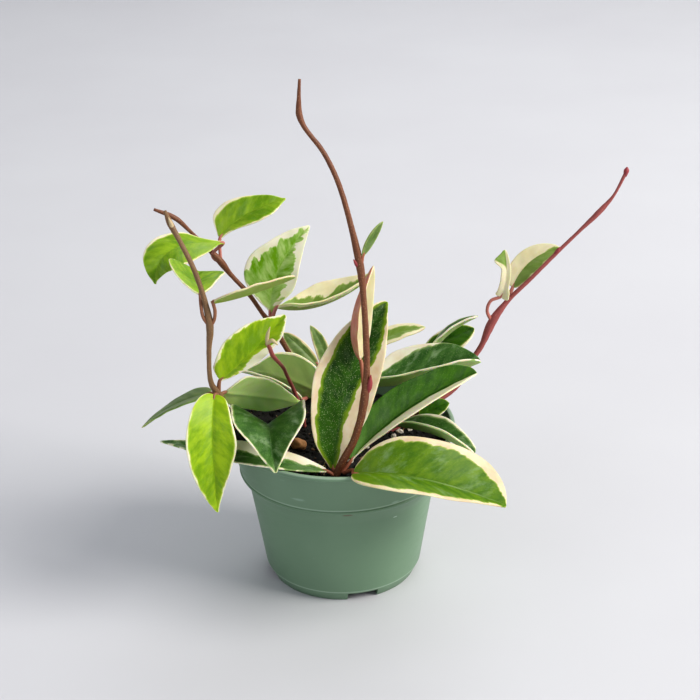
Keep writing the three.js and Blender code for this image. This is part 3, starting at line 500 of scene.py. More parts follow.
def waxy_blade(name, look, underside):
    """Living leaf: thick, waxy and smooth, green with a cream margin. The upper side is
    satin, with paler side veins, soft areas of painted sheen and tiny silvery flecks. The
    underside is paler and matt."""
    material, tree, shader = new_material(name)
    where = add(tree, "ShaderNodeAttribute", {}, attribute_name="blade_mm")
    across_blade = add(tree, "ShaderNodeSeparateXYZ", {0: where.outputs["Vector"]})
    depth = across_blade.outputs["Z"]
    vein = add(tree, "ShaderNodeAttribute", {}, attribute_name="vein_mm")
    vein_parts = add(tree, "ShaderNodeSeparateXYZ", {0: vein.outputs["Vector"]})
    part = add(tree, "ShaderNodeAttribute", {}, attribute_name="blade_part")
    shares = add(tree, "ShaderNodeSeparateXYZ", {0: part.outputs["Vector"]})

    # The green runs out in lobes and short streaks along the side veins.
    streaks = add(tree, "ShaderNodeMapping", {"Vector": vein.outputs["Vector"],
                                              "Scale": (1, 0.65, 0)})
    lobes = add(tree, "ShaderNodeTexNoise", {"Vector": streaks.outputs[0], "Scale": 0.19,
                                             "Detail": 3, "Roughness": 0.5})
    shift = add(tree, "ShaderNodeMath", {0: lobes.outputs["Fac"], 1: 0.5},
                operation="SUBTRACT")
    reach = add(tree, "ShaderNodeMath", {0: vein_parts.outputs["Z"], 1: 5},
                operation="MULTIPLY")
    moved = add(tree, "ShaderNodeMath", {0: shift.outputs[0], 1: reach.outputs[0], 2: depth},
                operation="MULTIPLY_ADD")
    green = add(tree, "ShaderNodeMapRange", {"Value": moved.outputs[0], "From Min": -0.15,
                                             "From Max": 0.25}, interpolation_type="SMOOTHSTEP")
    inner = add(tree, "ShaderNodeMapRange", {"Value": moved.outputs[0], "From Min": 0,
                                             "From Max": look["strip"]},
                interpolation_type="SMOOTHSTEP")

    # Ground colour: paler clouds, and yellower towards the base of the blade
    clouds = add(tree, "ShaderNodeTexNoise", {"Vector": streaks.outputs[0], "Scale": 0.2,
                                              "Detail": 5, "Roughness": 0.6})
    cloud = add(tree, "ShaderNodeMapRange", {"Value": clouds.outputs["Fac"], "From Min": 0.4,
                                             "From Max": 0.64, "To Max": look["clouds"]})
    ground = linear(look["under"] if underside else look["deep"])
    paler = linear(look["between"] if underside else look["light"])
    tint = add(tree, "ShaderNodeMix", {FACTOR: cloud.outputs[0], FIRST: ground, SECOND: paler},
               data_type="RGBA")
    base = add(tree, "ShaderNodeMapRange", {"Value": shares.outputs["X"], "From Min": 0.02,
                                            "From Max": 0.4, "To Min": 0.5, "To Max": 0})
    based = add(tree, "ShaderNodeMix", {FACTOR: base.outputs[0], FIRST: tint.outputs[MIXED],
                                        SECOND: paler}, data_type="RGBA")

    # Side veins: faint paler lines
    line = add(tree, "ShaderNodeMath", {0: vein_parts.outputs["X"], 1: VEIN_SPACING / 2},
               operation="PINGPONG")
    vein_mask = add(tree, "ShaderNodeMapRange", {"Value": line.outputs[0], "From Min": 0,
                                                 "From Max": 0.5, "To Min": 0.16, "To Max": 0})
    veined = add(tree, "ShaderNodeMix", {FACTOR: vein_mask.outputs[0],
                                         FIRST: based.outputs[MIXED], SECOND: paler},
                 data_type="RGBA")

    # Painted sheen: soft silvery areas that paint a reflection on the upper side, and the leaf's own
    # fine flecks about 0.4 mm wide
    patches = add(tree, "ShaderNodeTexNoise", {"Vector": vein.outputs["Vector"],
                                               "Scale": 0.11, "Detail": 5, "Roughness": 0.65})
    sheen_mask = add(tree, "ShaderNodeMapRange", {"Value": patches.outputs["Fac"],
                                             "From Min": 0.52, "From Max": 0.75,
                                             "To Max": 0 if underside else look["painted_sheen"]})
    sheen_painted = add(tree, "ShaderNodeMix", {FACTOR: sheen_mask.outputs[0],
                                           FIRST: veined.outputs[MIXED],
                                           SECOND: linear(PAINTED_SHEEN)}, data_type="RGBA")
    cells = add(tree, "ShaderNodeTexVoronoi", {"Vector": where.outputs["Vector"], "Scale": 1.5})
    dot = add(tree, "ShaderNodeMapRange", {"Value": cells.outputs["Distance"],
                                           "From Min": 0.22, "From Max": 0.34,
                                           "To Min": 1, "To Max": 0})
    chosen = add(tree, "ShaderNodeSeparateColor", {0: cells.outputs["Color"]})
    amount = add(tree, "ShaderNodeMapRange", {"Value": chosen.outputs[0], "From Min": 0.2,
                                              "From Max": 0.9,
                                              "To Max": 0 if underside else look["flecks"]})
    speck = add(tree, "ShaderNodeMath", {0: dot.outputs[0], 1: amount.outputs[0]},
                operation="MULTIPLY")
    flecked = add(tree, "ShaderNodeMix", {FACTOR: speck.outputs[0],
                                          FIRST: sheen_painted.outputs[MIXED],
                                          SECOND: linear(SILVER_FLECK)}, data_type="RGBA")

    # Margin: cream, joined to the green by a narrow pale strip
    strip = add(tree, "ShaderNodeMix", {FACTOR: inner.outputs[0],
                                        FIRST: linear(look["between"]),
                                        SECOND: flecked.outputs[MIXED]}, data_type="RGBA")
    stains = add(tree, "ShaderNodeTexNoise", {"Vector": where.outputs["Vector"],
                                              "Scale": 0.12, "Detail": 3})
    stain = add(tree, "ShaderNodeMapRange", {"Value": stains.outputs["Fac"], "From Min": 0.4,
                                             "From Max": 0.7})
    margin = add(tree, "ShaderNodeMix", {FACTOR: stain.outputs[0],
                                         FIRST: linear(look["cream"]),
                                         SECOND: linear(look["blush"])},
                 data_type="RGBA")
    blade = add(tree, "ShaderNodeMix", {FACTOR: green.outputs[0], FIRST: margin.outputs[MIXED],
                                        SECOND: strip.outputs[MIXED]}, data_type="RGBA")
    tree.links.new(blade.outputs[MIXED], shader.inputs["Base Color"])

    rough = add(tree, "ShaderNodeMapRange", {"Value": clouds.outputs["Fac"],
                                             "To Min": 0.55 if underside else 0.36,
                                             "To Max": 0.65 if underside else 0.5})
    tree.links.new(rough.outputs[0], shader.inputs["Roughness"])
    bump = add(tree, "ShaderNodeBump", {"Height": cells.outputs["Distance"],
                                        "Strength": 0.06, "Distance": 0.2 * MM})
    tree.links.new(bump.outputs[0], shader.inputs["Normal"])
    shader.inputs["IOR"].default_value = 1.4
    shader.inputs["Specular IOR Level"].default_value = 0.35
    shader.inputs["Subsurface Weight"].default_value = 0.7 if underside else 0.3
    shader.inputs["Subsurface Radius"].default_value = (0.5, 1.0, 0.2)
    shader.inputs["Subsurface Scale"].default_value = (2.5 if underside else 1.5) * MM
    return material


def vine_bark(name, ground, dark, speck, specks):
    """Young vine bark: matt, streaked along the stem, with fine pale lenticels."""
    material, tree, shader = new_material(name)
    where = add(tree, "ShaderNodeAttribute", {}, attribute_name="stem_mm")
    along = add(tree, "ShaderNodeMapping", {"Vector": where.outputs["Vector"],
                                            "Scale": (0.15, 1, 1)})
    streak = add(tree, "ShaderNodeTexNoise", {"Vector": along.outputs[0], "Scale": 0.8,
                                              "Detail": 4})
    streaked = add(tree, "ShaderNodeMix", {FACTOR: streak.outputs["Fac"],
                                           FIRST: linear(dark), SECOND: linear(ground)},
                   data_type="RGBA")
    dots = add(tree, "ShaderNodeTexNoise", {"Vector": where.outputs["Vector"], "Scale": 2,
                                            "Detail": 1})
    dot = add(tree, "ShaderNodeMapRange", {"Value": dots.outputs["Fac"], "From Min": 0.6,
                                           "From Max": 0.7, "To Max": specks})
    speckled = add(tree, "ShaderNodeMix", {FACTOR: dot.outputs[0],
                                           FIRST: streaked.outputs[MIXED],
                                           SECOND: linear(speck)}, data_type="RGBA")
    tree.links.new(speckled.outputs[MIXED], shader.inputs["Base Color"])
    shader.inputs["Roughness"].default_value = 0.55
    bump = add(tree, "ShaderNodeBump", {"Height": dots.outputs["Fac"], "Strength": 0.35,
                                        "Distance": 0.3 * MM})
    tree.links.new(bump.outputs[0], shader.inputs["Normal"])
    return material


def moulded_polypropylene(name):
    """Injection-moulded polypropylene: thin, satin and slightly cloudy, with fine scuffs, a few
    rub marks and thin painted highlight lines along the crease, the bead and the lip."""
    material, tree, shader = new_material(name)
    where = add(tree, "ShaderNodeTexCoord", {})
    cloudy = add(tree, "ShaderNodeTexNoise", {"Vector": where.outputs["Object"],
                                              "Scale": 28, "Detail": 3})
    body = add(tree, "ShaderNodeMix", {FACTOR: cloudy.outputs["Fac"],
                                       FIRST: linear("66836a"), SECOND: linear("769278")},
               data_type="RGBA")
    scuffs = add(tree, "ShaderNodeMapping", {"Vector": where.outputs["Object"],
                                             "Scale": (1, 1, 4)})
    scuff = add(tree, "ShaderNodeTexNoise", {"Vector": scuffs.outputs[0], "Scale": 130,
                                             "Detail": 5, "Roughness": 0.7})
    worn = add(tree, "ShaderNodeMapRange", {"Value": scuff.outputs["Fac"], "From Min": 0.66,
                                            "From Max": 0.78, "To Max": 0.35})
    marked = add(tree, "ShaderNodeMix", {FACTOR: worn.outputs[0], FIRST: body.outputs[MIXED],
                                         SECOND: linear("9bb3a2")}, data_type="RGBA")
    colour = marked.outputs[MIXED]
    for mark_place, size, mark_colour in POT_MARKS.values():
        away = add(tree, "ShaderNodeVectorMath", {0: where.outputs["Object"],
                                                  1: place(mark_place)}, operation="SUBTRACT")
        squeezed = add(tree, "ShaderNodeVectorMath", {0: away.outputs[0], 1: (1, 1, 4)},
                       operation="MULTIPLY")
        distance = add(tree, "ShaderNodeVectorMath", {0: squeezed.outputs[0]},
                       operation="LENGTH")
        ragged = add(tree, "ShaderNodeMath", {0: scuff.outputs["Fac"], 1: -size * 1.6 * MM,
                                              2: distance.outputs["Value"]},
                     operation="MULTIPLY_ADD")
        near = add(tree, "ShaderNodeMapRange", {"Value": ragged.outputs[0],
                                                "From Min": -0.3 * size * MM, "From Max": 0,
                                                "To Min": 0.8, "To Max": 0})
        colour = add(tree, "ShaderNodeMix", {FACTOR: near.outputs[0], FIRST: colour,
                                             SECOND: linear(mark_colour)},
                     data_type="RGBA").outputs[MIXED]
    # Painted highlight: thin paler lines along the crease, the bead and the lip, where those edges
    # catch the light
    height = add(tree, "ShaderNodeSeparateXYZ", {0: where.outputs["Object"]})
    for edge_height, amount in PAINTED_HIGHLIGHT_EDGES:
        off = add(tree, "ShaderNodeMath", {0: height.outputs["Z"], 1: edge_height * MM},
                  operation="SUBTRACT")
        gap = add(tree, "ShaderNodeMath", {0: off.outputs[0]}, operation="ABSOLUTE")
        highlight_line = add(tree, "ShaderNodeMapRange", {"Value": gap.outputs[0],
                                                  "From Min": 0.15 * MM, "From Max": 0.55 * MM,
                                                  "To Min": amount, "To Max": 0})
        colour = add(tree, "ShaderNodeMix", {FACTOR: highlight_line.outputs[0], FIRST: colour,
                                             SECOND: linear(PAINTED_HIGHLIGHT)},
                     data_type="RGBA").outputs[MIXED]
    tree.links.new(colour, shader.inputs["Base Color"])
    rough = add(tree, "ShaderNodeMapRange", {"Value": scuff.outputs["Fac"], "To Min": 0.36,
                                             "To Max": 0.56})
    tree.links.new(rough.outputs[0], shader.inputs["Roughness"])
    bump = add(tree, "ShaderNodeBump", {"Height": scuff.outputs["Fac"], "Strength": 0.08,
                                        "Distance": 0.2 * MM})
    tree.links.new(bump.outputs[0], shader.inputs["Normal"])
    shader.inputs["IOR"].default_value = 1.49
    return material


def moist_peat(name):
    """Peat and composted bark, watered: almost black, with brown fibres and grains."""
    material, tree, shader = new_material(name)
    where = add(tree, "ShaderNodeTexCoord", {})
    grain = add(tree, "ShaderNodeTexNoise", {"Vector": where.outputs["Object"],
                                             "Scale": 700, "Detail": 6, "Roughness": 0.7})
    body = add(tree, "ShaderNodeMix", {FACTOR: grain.outputs["Fac"],
                                       FIRST: linear("060504"), SECOND: linear("15100c")},
               data_type="RGBA")
    chips = add(tree, "ShaderNodeTexVoronoi", {"Vector": where.outputs["Object"],
                                               "Scale": 450})
    chip = add(tree, "ShaderNodeMapRange", {"Value": chips.outputs["Color"],
                                            "From Min": 0.86, "From Max": 0.92,
                                            "To Max": 0.6})
    mixed = add(tree, "ShaderNodeMix", {FACTOR: chip.outputs[0], FIRST: body.outputs[MIXED],
                                        SECOND: linear("5a4332")}, data_type="RGBA")
    tree.links.new(mixed.outputs[MIXED], shader.inputs["Base Color"])
    shader.inputs["Roughness"].default_value = 0.85
    bump = add(tree, "ShaderNodeBump", {"Height": grain.outputs["Fac"], "Strength": 0.9,
                                        "Distance": 0.8 * MM})
    tree.links.new(bump.outputs[0], shader.inputs["Normal"])
    return material


def grained_stone(name, ground, light, scale):
    """Weathered pebble or expanded perlite: matt and finely pitted."""
    material, tree, shader = new_material(name)
    where = add(tree, "ShaderNodeTexCoord", {})
    grain = add(tree, "ShaderNodeTexNoise", {"Vector": where.outputs["Object"],
                                             "Scale": scale, "Detail": 5})
    body = add(tree, "ShaderNodeMix", {FACTOR: grain.outputs["Fac"],
                                       FIRST: linear(ground), SECOND: linear(light)},
               data_type="RGBA")
    tree.links.new(body.outputs[MIXED], shader.inputs["Base Color"])
    shader.inputs["Roughness"].default_value = 0.75
    bump = add(tree, "ShaderNodeBump", {"Height": grain.outputs["Fac"], "Strength": 0.5,
                                        "Distance": 0.4 * MM})
    tree.links.new(bump.outputs[0], shader.inputs["Normal"])
    return material


def matt_paint(name, colour):
    """Studio floor and wall: plain matt paint."""
    material, tree, shader = new_material(name)
    where = add(tree, "ShaderNodeTexCoord", {})
    cloud = add(tree, "ShaderNodeTexNoise", {"Vector": where.outputs["Object"], "Scale": 6,
                                             "Detail": 3})
    body = add(tree, "ShaderNodeMix", {FACTOR: cloud.outputs["Fac"], FIRST: linear(colour),
                                       SECOND: linear("c9cbcf")}, data_type="RGBA")
    tree.links.new(body.outputs[MIXED], shader.inputs["Base Color"])
    shader.inputs["Roughness"].default_value = 0.8
    return material


# Meshes

def piece(name, points, faces, materials, face_slots=None, attributes=None, smooth=True):
    """A new object from points in metres. face_slots gives each face its material."""
    mesh = bpy.data.meshes.new(name)
    mesh.from_pydata(points, [], faces)
    for material in materials:
        mesh.materials.append(material)
    if face_slots:
        mesh.polygons.foreach_set("material_index", face_slots)
    mesh.polygons.foreach_set("use_smooth", [smooth] * len(mesh.polygons))
    for key, values in (attributes or {}).items():
        attribute = mesh.attributes.new(key, "FLOAT_VECTOR", "POINT")
        attribute.data.foreach_set("vector", [x for value in values for x in value])
    mesh.update()
    made = bpy.data.objects.new(name, mesh)
    bpy.context.scene.collection.objects.link(made)
    return made


def dress(made, node):
    """Puts a piece in a CAD node's place."""
    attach(made, "root")
    if node:
        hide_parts(node)
    return made


def spline(points, count):
    """Centripetal Catmull-Rom curve through points of any dimension, at count + 1 places."""
    points = [Vector(p) for p in points]
    ends = [points[0] * 2 - points[1], *points, points[-1] * 2 - points[-2]]
    spans = len(points) - 1
    curve = []
    for step in range(count + 1):
        x = step / count * spans
        i = min(int(x), spans - 1)
        p0, p1, p2, p3 = ends[i:i + 4]
        t0 = 0
        t1 = t0 + (p1 - p0).length ** 0.5
        t2 = t1 + (p2 - p1).length ** 0.5
        t3 = t2 + (p3 - p2).length ** 0.5
        t = lerp(t1, t2, x - i)
        a1 = p0.lerp(p1, (t - t0) / (t1 - t0))
        a2 = p1.lerp(p2, (t - t1) / (t2 - t1))
        a3 = p2.lerp(p3, (t - t2) / (t3 - t2))
        b1 = a1.lerp(a2, (t - t0) / (t2 - t0))
        b2 = a2.lerp(a3, (t - t1) / (t3 - t1))
        curve.append(b1.lerp(b2, (t - t1) / (t2 - t1)))
    return curve


def tube(points, sides, wobble=0.0, seed=0):
    """Points, faces and stem places of a closed round tube. points are [x, y, z, radius]."""
    across = Vector((1, 0.3, 0.2))
    rings, marks, length = [], [], 0.0
    for i, point in enumerate(points):
        centre, radius = Vector(point[:3]), point[3]
        before, after = points[max(i - 1, 0)], points[min(i + 1, len(points) - 1)]
        along = (Vector(after[:3]) - Vector(before[:3])).normalized()
        across = (across - along * across.dot(along)).normalized()
        up = along.cross(across)
        if i:
            length += (centre - Vector(before[:3])).length
        for side in range(sides):
            angle = 2 * math.pi * side / sides
            spoke = across * math.cos(angle) + up * math.sin(angle)
            bulge = 1 + wobble * noise.noise((centre + spoke * radius) * 0.4 + Vector((seed, 0, 0)))
            rings.append(centre + spoke * radius * bulge)
            marks.append((length + 100 * seed, radius * math.cos(angle), radius * math.sin(angle)))
    faces = []
    for ring in range(len(points) - 1):
        for side in range(sides):
            a = ring * sides + side
            b = ring * sides + (side + 1) % sides
            faces.append((a, b, b + sides, a + sides))
    last = (len(points) - 1) * sides
    faces.append(tuple(reversed(range(sides))))
    faces.append(tuple(range(last, last + sides)))
    return rings, faces, marks


class Solids:
    """Several closed shells gathered for one piece."""

    def __init__(self):
        self.points, self.faces, self.marks, self.slots = [], [], [], []

    def add(self, points, faces, marks, slot=0):
        first = len(self.points)
        self.points += [place(p) for p in points]
        self.faces += [tuple(first + i for i in face) for face in faces]
        self.marks += marks
        self.slots += [slot] * len(faces)


# Leaves

def midrib(leaf, u):
    """Place and direction on the midrib, a quadratic curve through base, middle and tip."""
    base, middle, tip = (Vector(leaf[key]) for key in ("base", "middle", "tip"))
    control = middle * 2 - (base + tip) / 2
    centre = base * (1 - u) ** 2 + control * (2 * u * (1 - u)) + tip * u ** 2
    along = (control - base) * (1 - u) + (tip - control) * u
    return centre, along.normalized()


def half_width(leaf, side, u):
    """Half width at u, from the outline where a leaf has one and else from half and powers."""
    narrow = lerp(BASE_HALF_WIDTH, TIP_HALF_WIDTH, u)
    if "outline" in leaf:
        turn = math.acos(1 - 2 * u) / math.pi
        widths = (BASE_HALF_WIDTH, *leaf["outline"][side], TIP_HALF_WIDTH)
        return max(narrow, smooth_value(widths, turn))
    base_power, tip_power = leaf["powers"]
    widest = base_power / (base_power + tip_power)
    peak = widest ** base_power * (1 - widest) ** tip_power
    full = leaf["half"][side] * u ** base_power * (1 - u) ** tip_power / peak
    return max(narrow, full)


def blade_point(leaf, u, s, seed):
    """Middle of the blade at u along and s across it, its normal, its reach and its width."""
    centre, along = midrib(leaf, u)
    face = Vector(leaf["face"])
    face = (face - along * face.dot(along)).normalized()
    right = along.cross(face)
    side = 0 if s < 0 else 1
    sign = -1 if s < 0 else 1
    width = half_width(leaf, side, u)
    reach = abs(s) * width
    bend = math.radians(leaf["curl"]) * abs(s)
    fold = math.radians(leaf["fold"])
    # The two halves join in a narrow trough, not in a crease.
    ease = reach * reach / (reach + 0.8) if reach else 0
    rise = fold + bend / 2
    slope = (fold + bend) * reach / (reach + 0.8)
    out = right * (sign * math.cos(rise) * reach)
    up = face * (math.sin(rise) * ease)
    normal = face * math.cos(slope) - right * (sign * math.sin(slope))
    wave = noise.noise(Vector((u * 5 + seed * 7.3, sign * 3.1, 0))) * leaf["wave"] * 2
    vein_place = u * 40 - reach * VEIN_SLANT
    pillow = math.cos(2 * math.pi * vein_place / VEIN_SPACING) * VEIN_PILLOW
    swell = pillow * math.sin(math.pi * min(1, reach / max(width, 1))) * min(1, width / 8)
    spot = centre + out + up + normal * (wave * s * s * min(1, width / 6) + swell)
    return spot, normal, reach, width


def leaf_length(leaf):
    steps = [midrib(leaf, i / 20)[0] for i in range(21)]
    return sum((b - a).length for a, b in zip(steps, steps[1:]))


def make_leaf(name, leaf, seed, upper, under):
    """A thick blade with a grooved midrib above, a ridge below and a rounded margin."""
    length = leaf_length(leaf)
    across = [-s for s in reversed(SECTION[1:])] + list(SECTION)
    count = len(across)
    points, blade_marks, vein_marks, part_marks = [], [], [], []
    for row in range(BLADE_ROWS + 1):
        u = (1 - math.cos(math.pi * row / BLADE_ROWS)) / 2
        top, bottom, marks, veins, parts = [], [], [], [], []
        for s in across:
            spot, normal, reach, width = blade_point(leaf, u, s, seed)
            thick = lerp(BLADE_THICK, BLADE_EDGE, s * s) / 2
            if abs(s) > RIM_SHARE:
                thick *= math.sqrt(max(0, 1 - ((abs(s) - RIM_SHARE) / (1 - RIM_SHARE)) ** 2))
            thick *= min(1, 0.35 + width / 3)
            rib = math.exp(-(reach / GROOVE_WIDTH) ** 2) * min(1, width / 5)
            top.append(spot + normal * (thick - rib * GROOVE_DEPTH))
            bottom.append(spot - normal * (thick + rib * RIDGE_HEIGHT * (1 - 0.7 * u)))
            side = 0 if s < 0 else 1
            share = smooth_value(leaf["green"][side], u)
            mark = u * length + 150 * seed
            marks.append((mark, math.copysign(reach, s), (share - abs(s)) * width))
            veins.append((mark - reach * VEIN_SLANT, reach + 40 * side, leaf["jag"]))
            parts.append((u, s, seed))
        points += top + bottom[-2:0:-1]
        blade_marks += marks + marks[-2:0:-1]
        vein_marks += veins + veins[-2:0:-1]
        part_marks += parts + parts[-2:0:-1]
    around = 2 * count - 2
    faces, slots = [], []
    for row in range(BLADE_ROWS):
        for i in range(around):
            a = row * around + i
            b = row * around + (i + 1) % around
            faces.append((a, b, b + around, a + around))
            slots.append(0 if i < count - 1 else 1)
    last = BLADE_ROWS * around
    faces += [tuple(reversed(range(around))), tuple(range(last, last + around))]
    slots += [0, 0]
    return piece(name, [place(p) for p in points], faces, [upper, under], slots,
                 {"blade_mm": blade_marks, "vein_mm": vein_marks, "blade_part": part_marks})


def make_vine(name, vine, bark, stalk_skin, bud_skin):
    """A vine with the stalks of its leaves."""
    solids = Solids()
    points = spline(vine["points"], 12 * (len(vine["points"]) - 1))
    seed = list(VINES).index(name)
    solids.add(*tube(points, 16, 0.08, seed))
    for leaf in LEAVES.values():
        if leaf["vine"] != name:
            continue
        base, along = midrib(leaf, 0)
        inside = base + along * 2.5
        route = [*leaf["stalk"], tuple(base), tuple(inside)]
        route = [(*p, STALK_RADIUS) for p in route]
        route[0] = (*route[0][:3], STALK_RADIUS * 1.25)
        route[-1] = (*route[-1][:3], STALK_RADIUS * 0.4)
        solids.add(*tube(spline(route, 10 * (len(route) - 1)), 12, 0.05, seed), slot=1)
    for start, middle, end, radius in BUDS.get(name, ()):
        route = [(*start, radius * 0.6), (*middle, radius), (*end, radius * 0.25)]
        solids.add(*tube(spline(route, 16), 12, 0.1, seed), slot=2)
    return piece(name + "_stem", solids.points, solids.faces, [bark, stalk_skin, bud_skin],
                 solids.slots, {"stem_mm": solids.marks})


# Pot and soil

def pot_profile():
    band_top = POT_HEIGHT - LIP_HEIGHT
    band_top_radius = RIM_RADIUS - LIP_STEP
    ring_inner = FOOT_RADIUS - FOOT_RING_WIDTH
    bead = BAND_RADIUS + BEAD_STEP
    return [
        (0, FLOOR_UNDERSIDE), (ring_inner - 0.4, FLOOR_UNDERSIDE), (ring_inner, 2.2),
        (ring_inner, 0.3), (ring_inner + 0.3, 0), (FOOT_RADIUS - 0.4, 0),
        (FOOT_RADIUS, 0.3), (CREASE_RADIUS - 0.15, CREASE_HEIGHT - 0.3),
        (CREASE_RADIUS + 0.1, CREASE_HEIGHT + 0.3),
        (lerp(CREASE_RADIUS, NECK_RADIUS, 0.5), lerp(CREASE_HEIGHT, NECK_HEIGHT, 0.5)),
        (NECK_RADIUS - 0.1, NECK_HEIGHT - 1), (NECK_RADIUS + 0.3, NECK_HEIGHT + 1),
        (BAND_RADIUS - 0.7, BAND_BOTTOM - 2.6), (BAND_RADIUS, BAND_BOTTOM - 1.2),
        (bead - 0.15, BAND_BOTTOM - 0.9), (bead, BAND_BOTTOM - 0.5),
        (bead - 0.1, BAND_BOTTOM - 0.1), (BAND_RADIUS + 0.1, BAND_BOTTOM + 0.2),
        (BAND_RADIUS + 0.3, BAND_BOTTOM + 1.2),
        (lerp(BAND_RADIUS, band_top_radius, 0.5), lerp(BAND_BOTTOM, band_top, 0.5)),
        (band_top_radius - 0.1, band_top - 0.9), (band_top_radius + 0.2, band_top - 0.4),
        (RIM_RADIUS - 0.1, band_top), (RIM_RADIUS, band_top + 0.4),
        (RIM_RADIUS, POT_HEIGHT - 0.6), (RIM_RADIUS - 0.2, POT_HEIGHT - 0.15),
        (RIM_RADIUS - 0.6, POT_HEIGHT), (band_top_radius - WALL + 0.5, POT_HEIGHT),
        (band_top_radius - WALL + 0.1, POT_HEIGHT - 0.2),
        (band_top_radius - WALL, POT_HEIGHT - 0.6), (BAND_RADIUS - WALL, BAND_BOTTOM),
        (NECK_RADIUS - WALL, NECK_HEIGHT), (CREASE_RADIUS - WALL, CREASE_HEIGHT),
        (CREASE_RADIUS - WALL - 0.8, FLOOR_TOP), (0, FLOOR_TOP),
    ]


def make_pot(plastic):
    """A turned wall with rounded edges, cut by the drainage slots."""
    profile = pot_profile()
    points, faces = [], []
    bottom, top = profile[0], profile[-1]
    inner = profile[1:-1]
    for radius, height in inner:
        for side in range(POT_SIDES):
            angle = 2 * math.pi * side / POT_SIDES
            points.append((radius * math.cos(angle), radius * math.sin(angle), height))
    points += [(0, 0, bottom[1]), (0, 0, top[1])]
    centre_low, centre_high = len(points) - 2, len(points) - 1
    last = (len(inner) - 1) * POT_SIDES
    for side in range(POT_SIDES):
        after = (side + 1) % POT_SIDES
        faces.append((centre_low, after, side))
        faces.append((centre_high, last + side, last + after))
        for ring in range(len(inner) - 1):
            a, b = ring * POT_SIDES + side, ring * POT_SIDES + after
            faces.append((a, b, b + POT_SIDES, a + POT_SIDES))
    pot = piece("nursery_pot", [place(p) for p in points], faces, [plastic])
    cutters = []
    reach = CREASE_RADIUS + 2 - SLOT_INNER_RADIUS
    for slot in range(SLOT_COUNT):
        angle = math.radians(FIRST_SLOT_DEG + 360 * slot / SLOT_COUNT)
        turn = Matrix.Rotation(angle, 4, "Z")
        middle = turn @ Vector((SLOT_INNER_RADIUS + reach / 2, 0, 0))
        tool = bmesh.new()
        bmesh.ops.create_cube(tool, size=1)
        bmesh.ops.scale(tool, vec=(reach * MM, SLOT_WIDTH * MM, 2 * SLOT_HEIGHT * MM),
                        verts=tool.verts)
        bmesh.ops.transform(tool, matrix=Matrix.Translation(place(middle)) @ turn,
                            verts=tool.verts)
        mesh = bpy.data.meshes.new("slot")
        tool.to_mesh(mesh)
        tool.free()
        cutter = bpy.data.objects.new("slot", mesh)
        bpy.context.scene.collection.objects.link(cutter)
        cutters.append(cutter)
        cut = pot.modifiers.new("slot", "BOOLEAN")
        cut.object, cut.operation, cut.solver = cutter, "DIFFERENCE", "EXACT"
    bpy.context.view_layer.update()
    evaluated = pot.evaluated_get(bpy.context.evaluated_depsgraph_get())
    cut_mesh = bpy.data.meshes.new_from_object(evaluated)
    pot.modifiers.clear()
    pot.data = cut_mesh
    for cutter in cutters:
        bpy.data.objects.remove(cutter)
    shade_by_angle(pot, 35)
    return pot


def shade_by_angle(made, degrees):
    """Smooth shading, with sharp edges where the faces turn by more than degrees."""
    work = bmesh.new()
    work.from_mesh(made.data)
    for edge in work.edges:
        edge.smooth = edge.calc_face_angle(0) < math.radians(degrees)
    for face in work.faces:
        face.smooth = True
    work.to_mesh(made.data)
    work.free()


def inner_radius(height):
    wall = ((FLOOR_TOP, CREASE_RADIUS - WALL - 0.8), (CREASE_HEIGHT, CREASE_RADIUS - WALL),
            (NECK_HEIGHT, NECK_RADIUS - WALL), (BAND_BOTTOM, BAND_RADIUS - WALL),
            (POT_HEIGHT, RIM_RADIUS - LIP_STEP - WALL))
    for (low, narrow), (high, wide) in zip(wall, wall[1:]):
        if height <= high:
            return lerp(narrow, wide, (height - low) / (high - low))
    return wall[-1][1]


def soil_height(x, y):
    """Broad swells, finer lumps and crumbs."""
    swell = math.sin(0.31 * x + 1.3) * math.cos(0.27 * y - 0.6)
    lump = math.sin(0.83 * x - 0.4 * y) * math.cos(0.71 * y + 0.35 * x)
    crumb = noise.fractal(Vector((x, y, 0)) * 0.45, 0.8, 2.1, 4)
    out = math.hypot(x, y) / NECK_RADIUS
    bank = SOIL_BANK * out ** 6 * max(0, -x / NECK_RADIUS) if out > 0.3 else 0
    return SOIL_TOP + SOIL_LUMP * (swell + lump) / 2 + 0.9 * crumb + bank


def make_soil(peat):
    """The plug of soil: its surface is crumbly and its side follows the pot."""
    levels = (SOIL_BOTTOM, CREASE_HEIGHT + 1, 20, NECK_HEIGHT - 1, BAND_BOTTOM, SOIL_TOP - 2)
    rings = [(inner_radius(z) - SOIL_GAP, z) for z in levels]
    edge = inner_radius(SOIL_TOP) - SOIL_GAP
    rings += [(edge * (1 - i / SOIL_RINGS), None) for i in range(SOIL_RINGS)]
    points, faces = [], []
    for radius, level in rings:
        for side in range(SOIL_SIDES):
            angle = 2 * math.pi * side / SOIL_SIDES
            x, y = radius * math.cos(angle), radius * math.sin(angle)
            points.append((x, y, soil_height(x, y) if level is None else level))
    points += [(0, 0, SOIL_BOTTOM), (0, 0, soil_height(0, 0))]
    low, high = len(points) - 2, len(points) - 1
    last = (len(rings) - 1) * SOIL_SIDES
    for side in range(SOIL_SIDES):
        after = (side + 1) % SOIL_SIDES
        faces.append((low, after, side))
        faces.append((high, last + side, last + after))
        for ring in range(len(rings) - 1):
            a, b = ring * SOIL_SIDES + side, ring * SOIL_SIDES + after
            faces.append((a, b, b + SOIL_SIDES, a + SOIL_SIDES))
    return piece("potting_soil", [place(p) for p in points], faces, [peat])



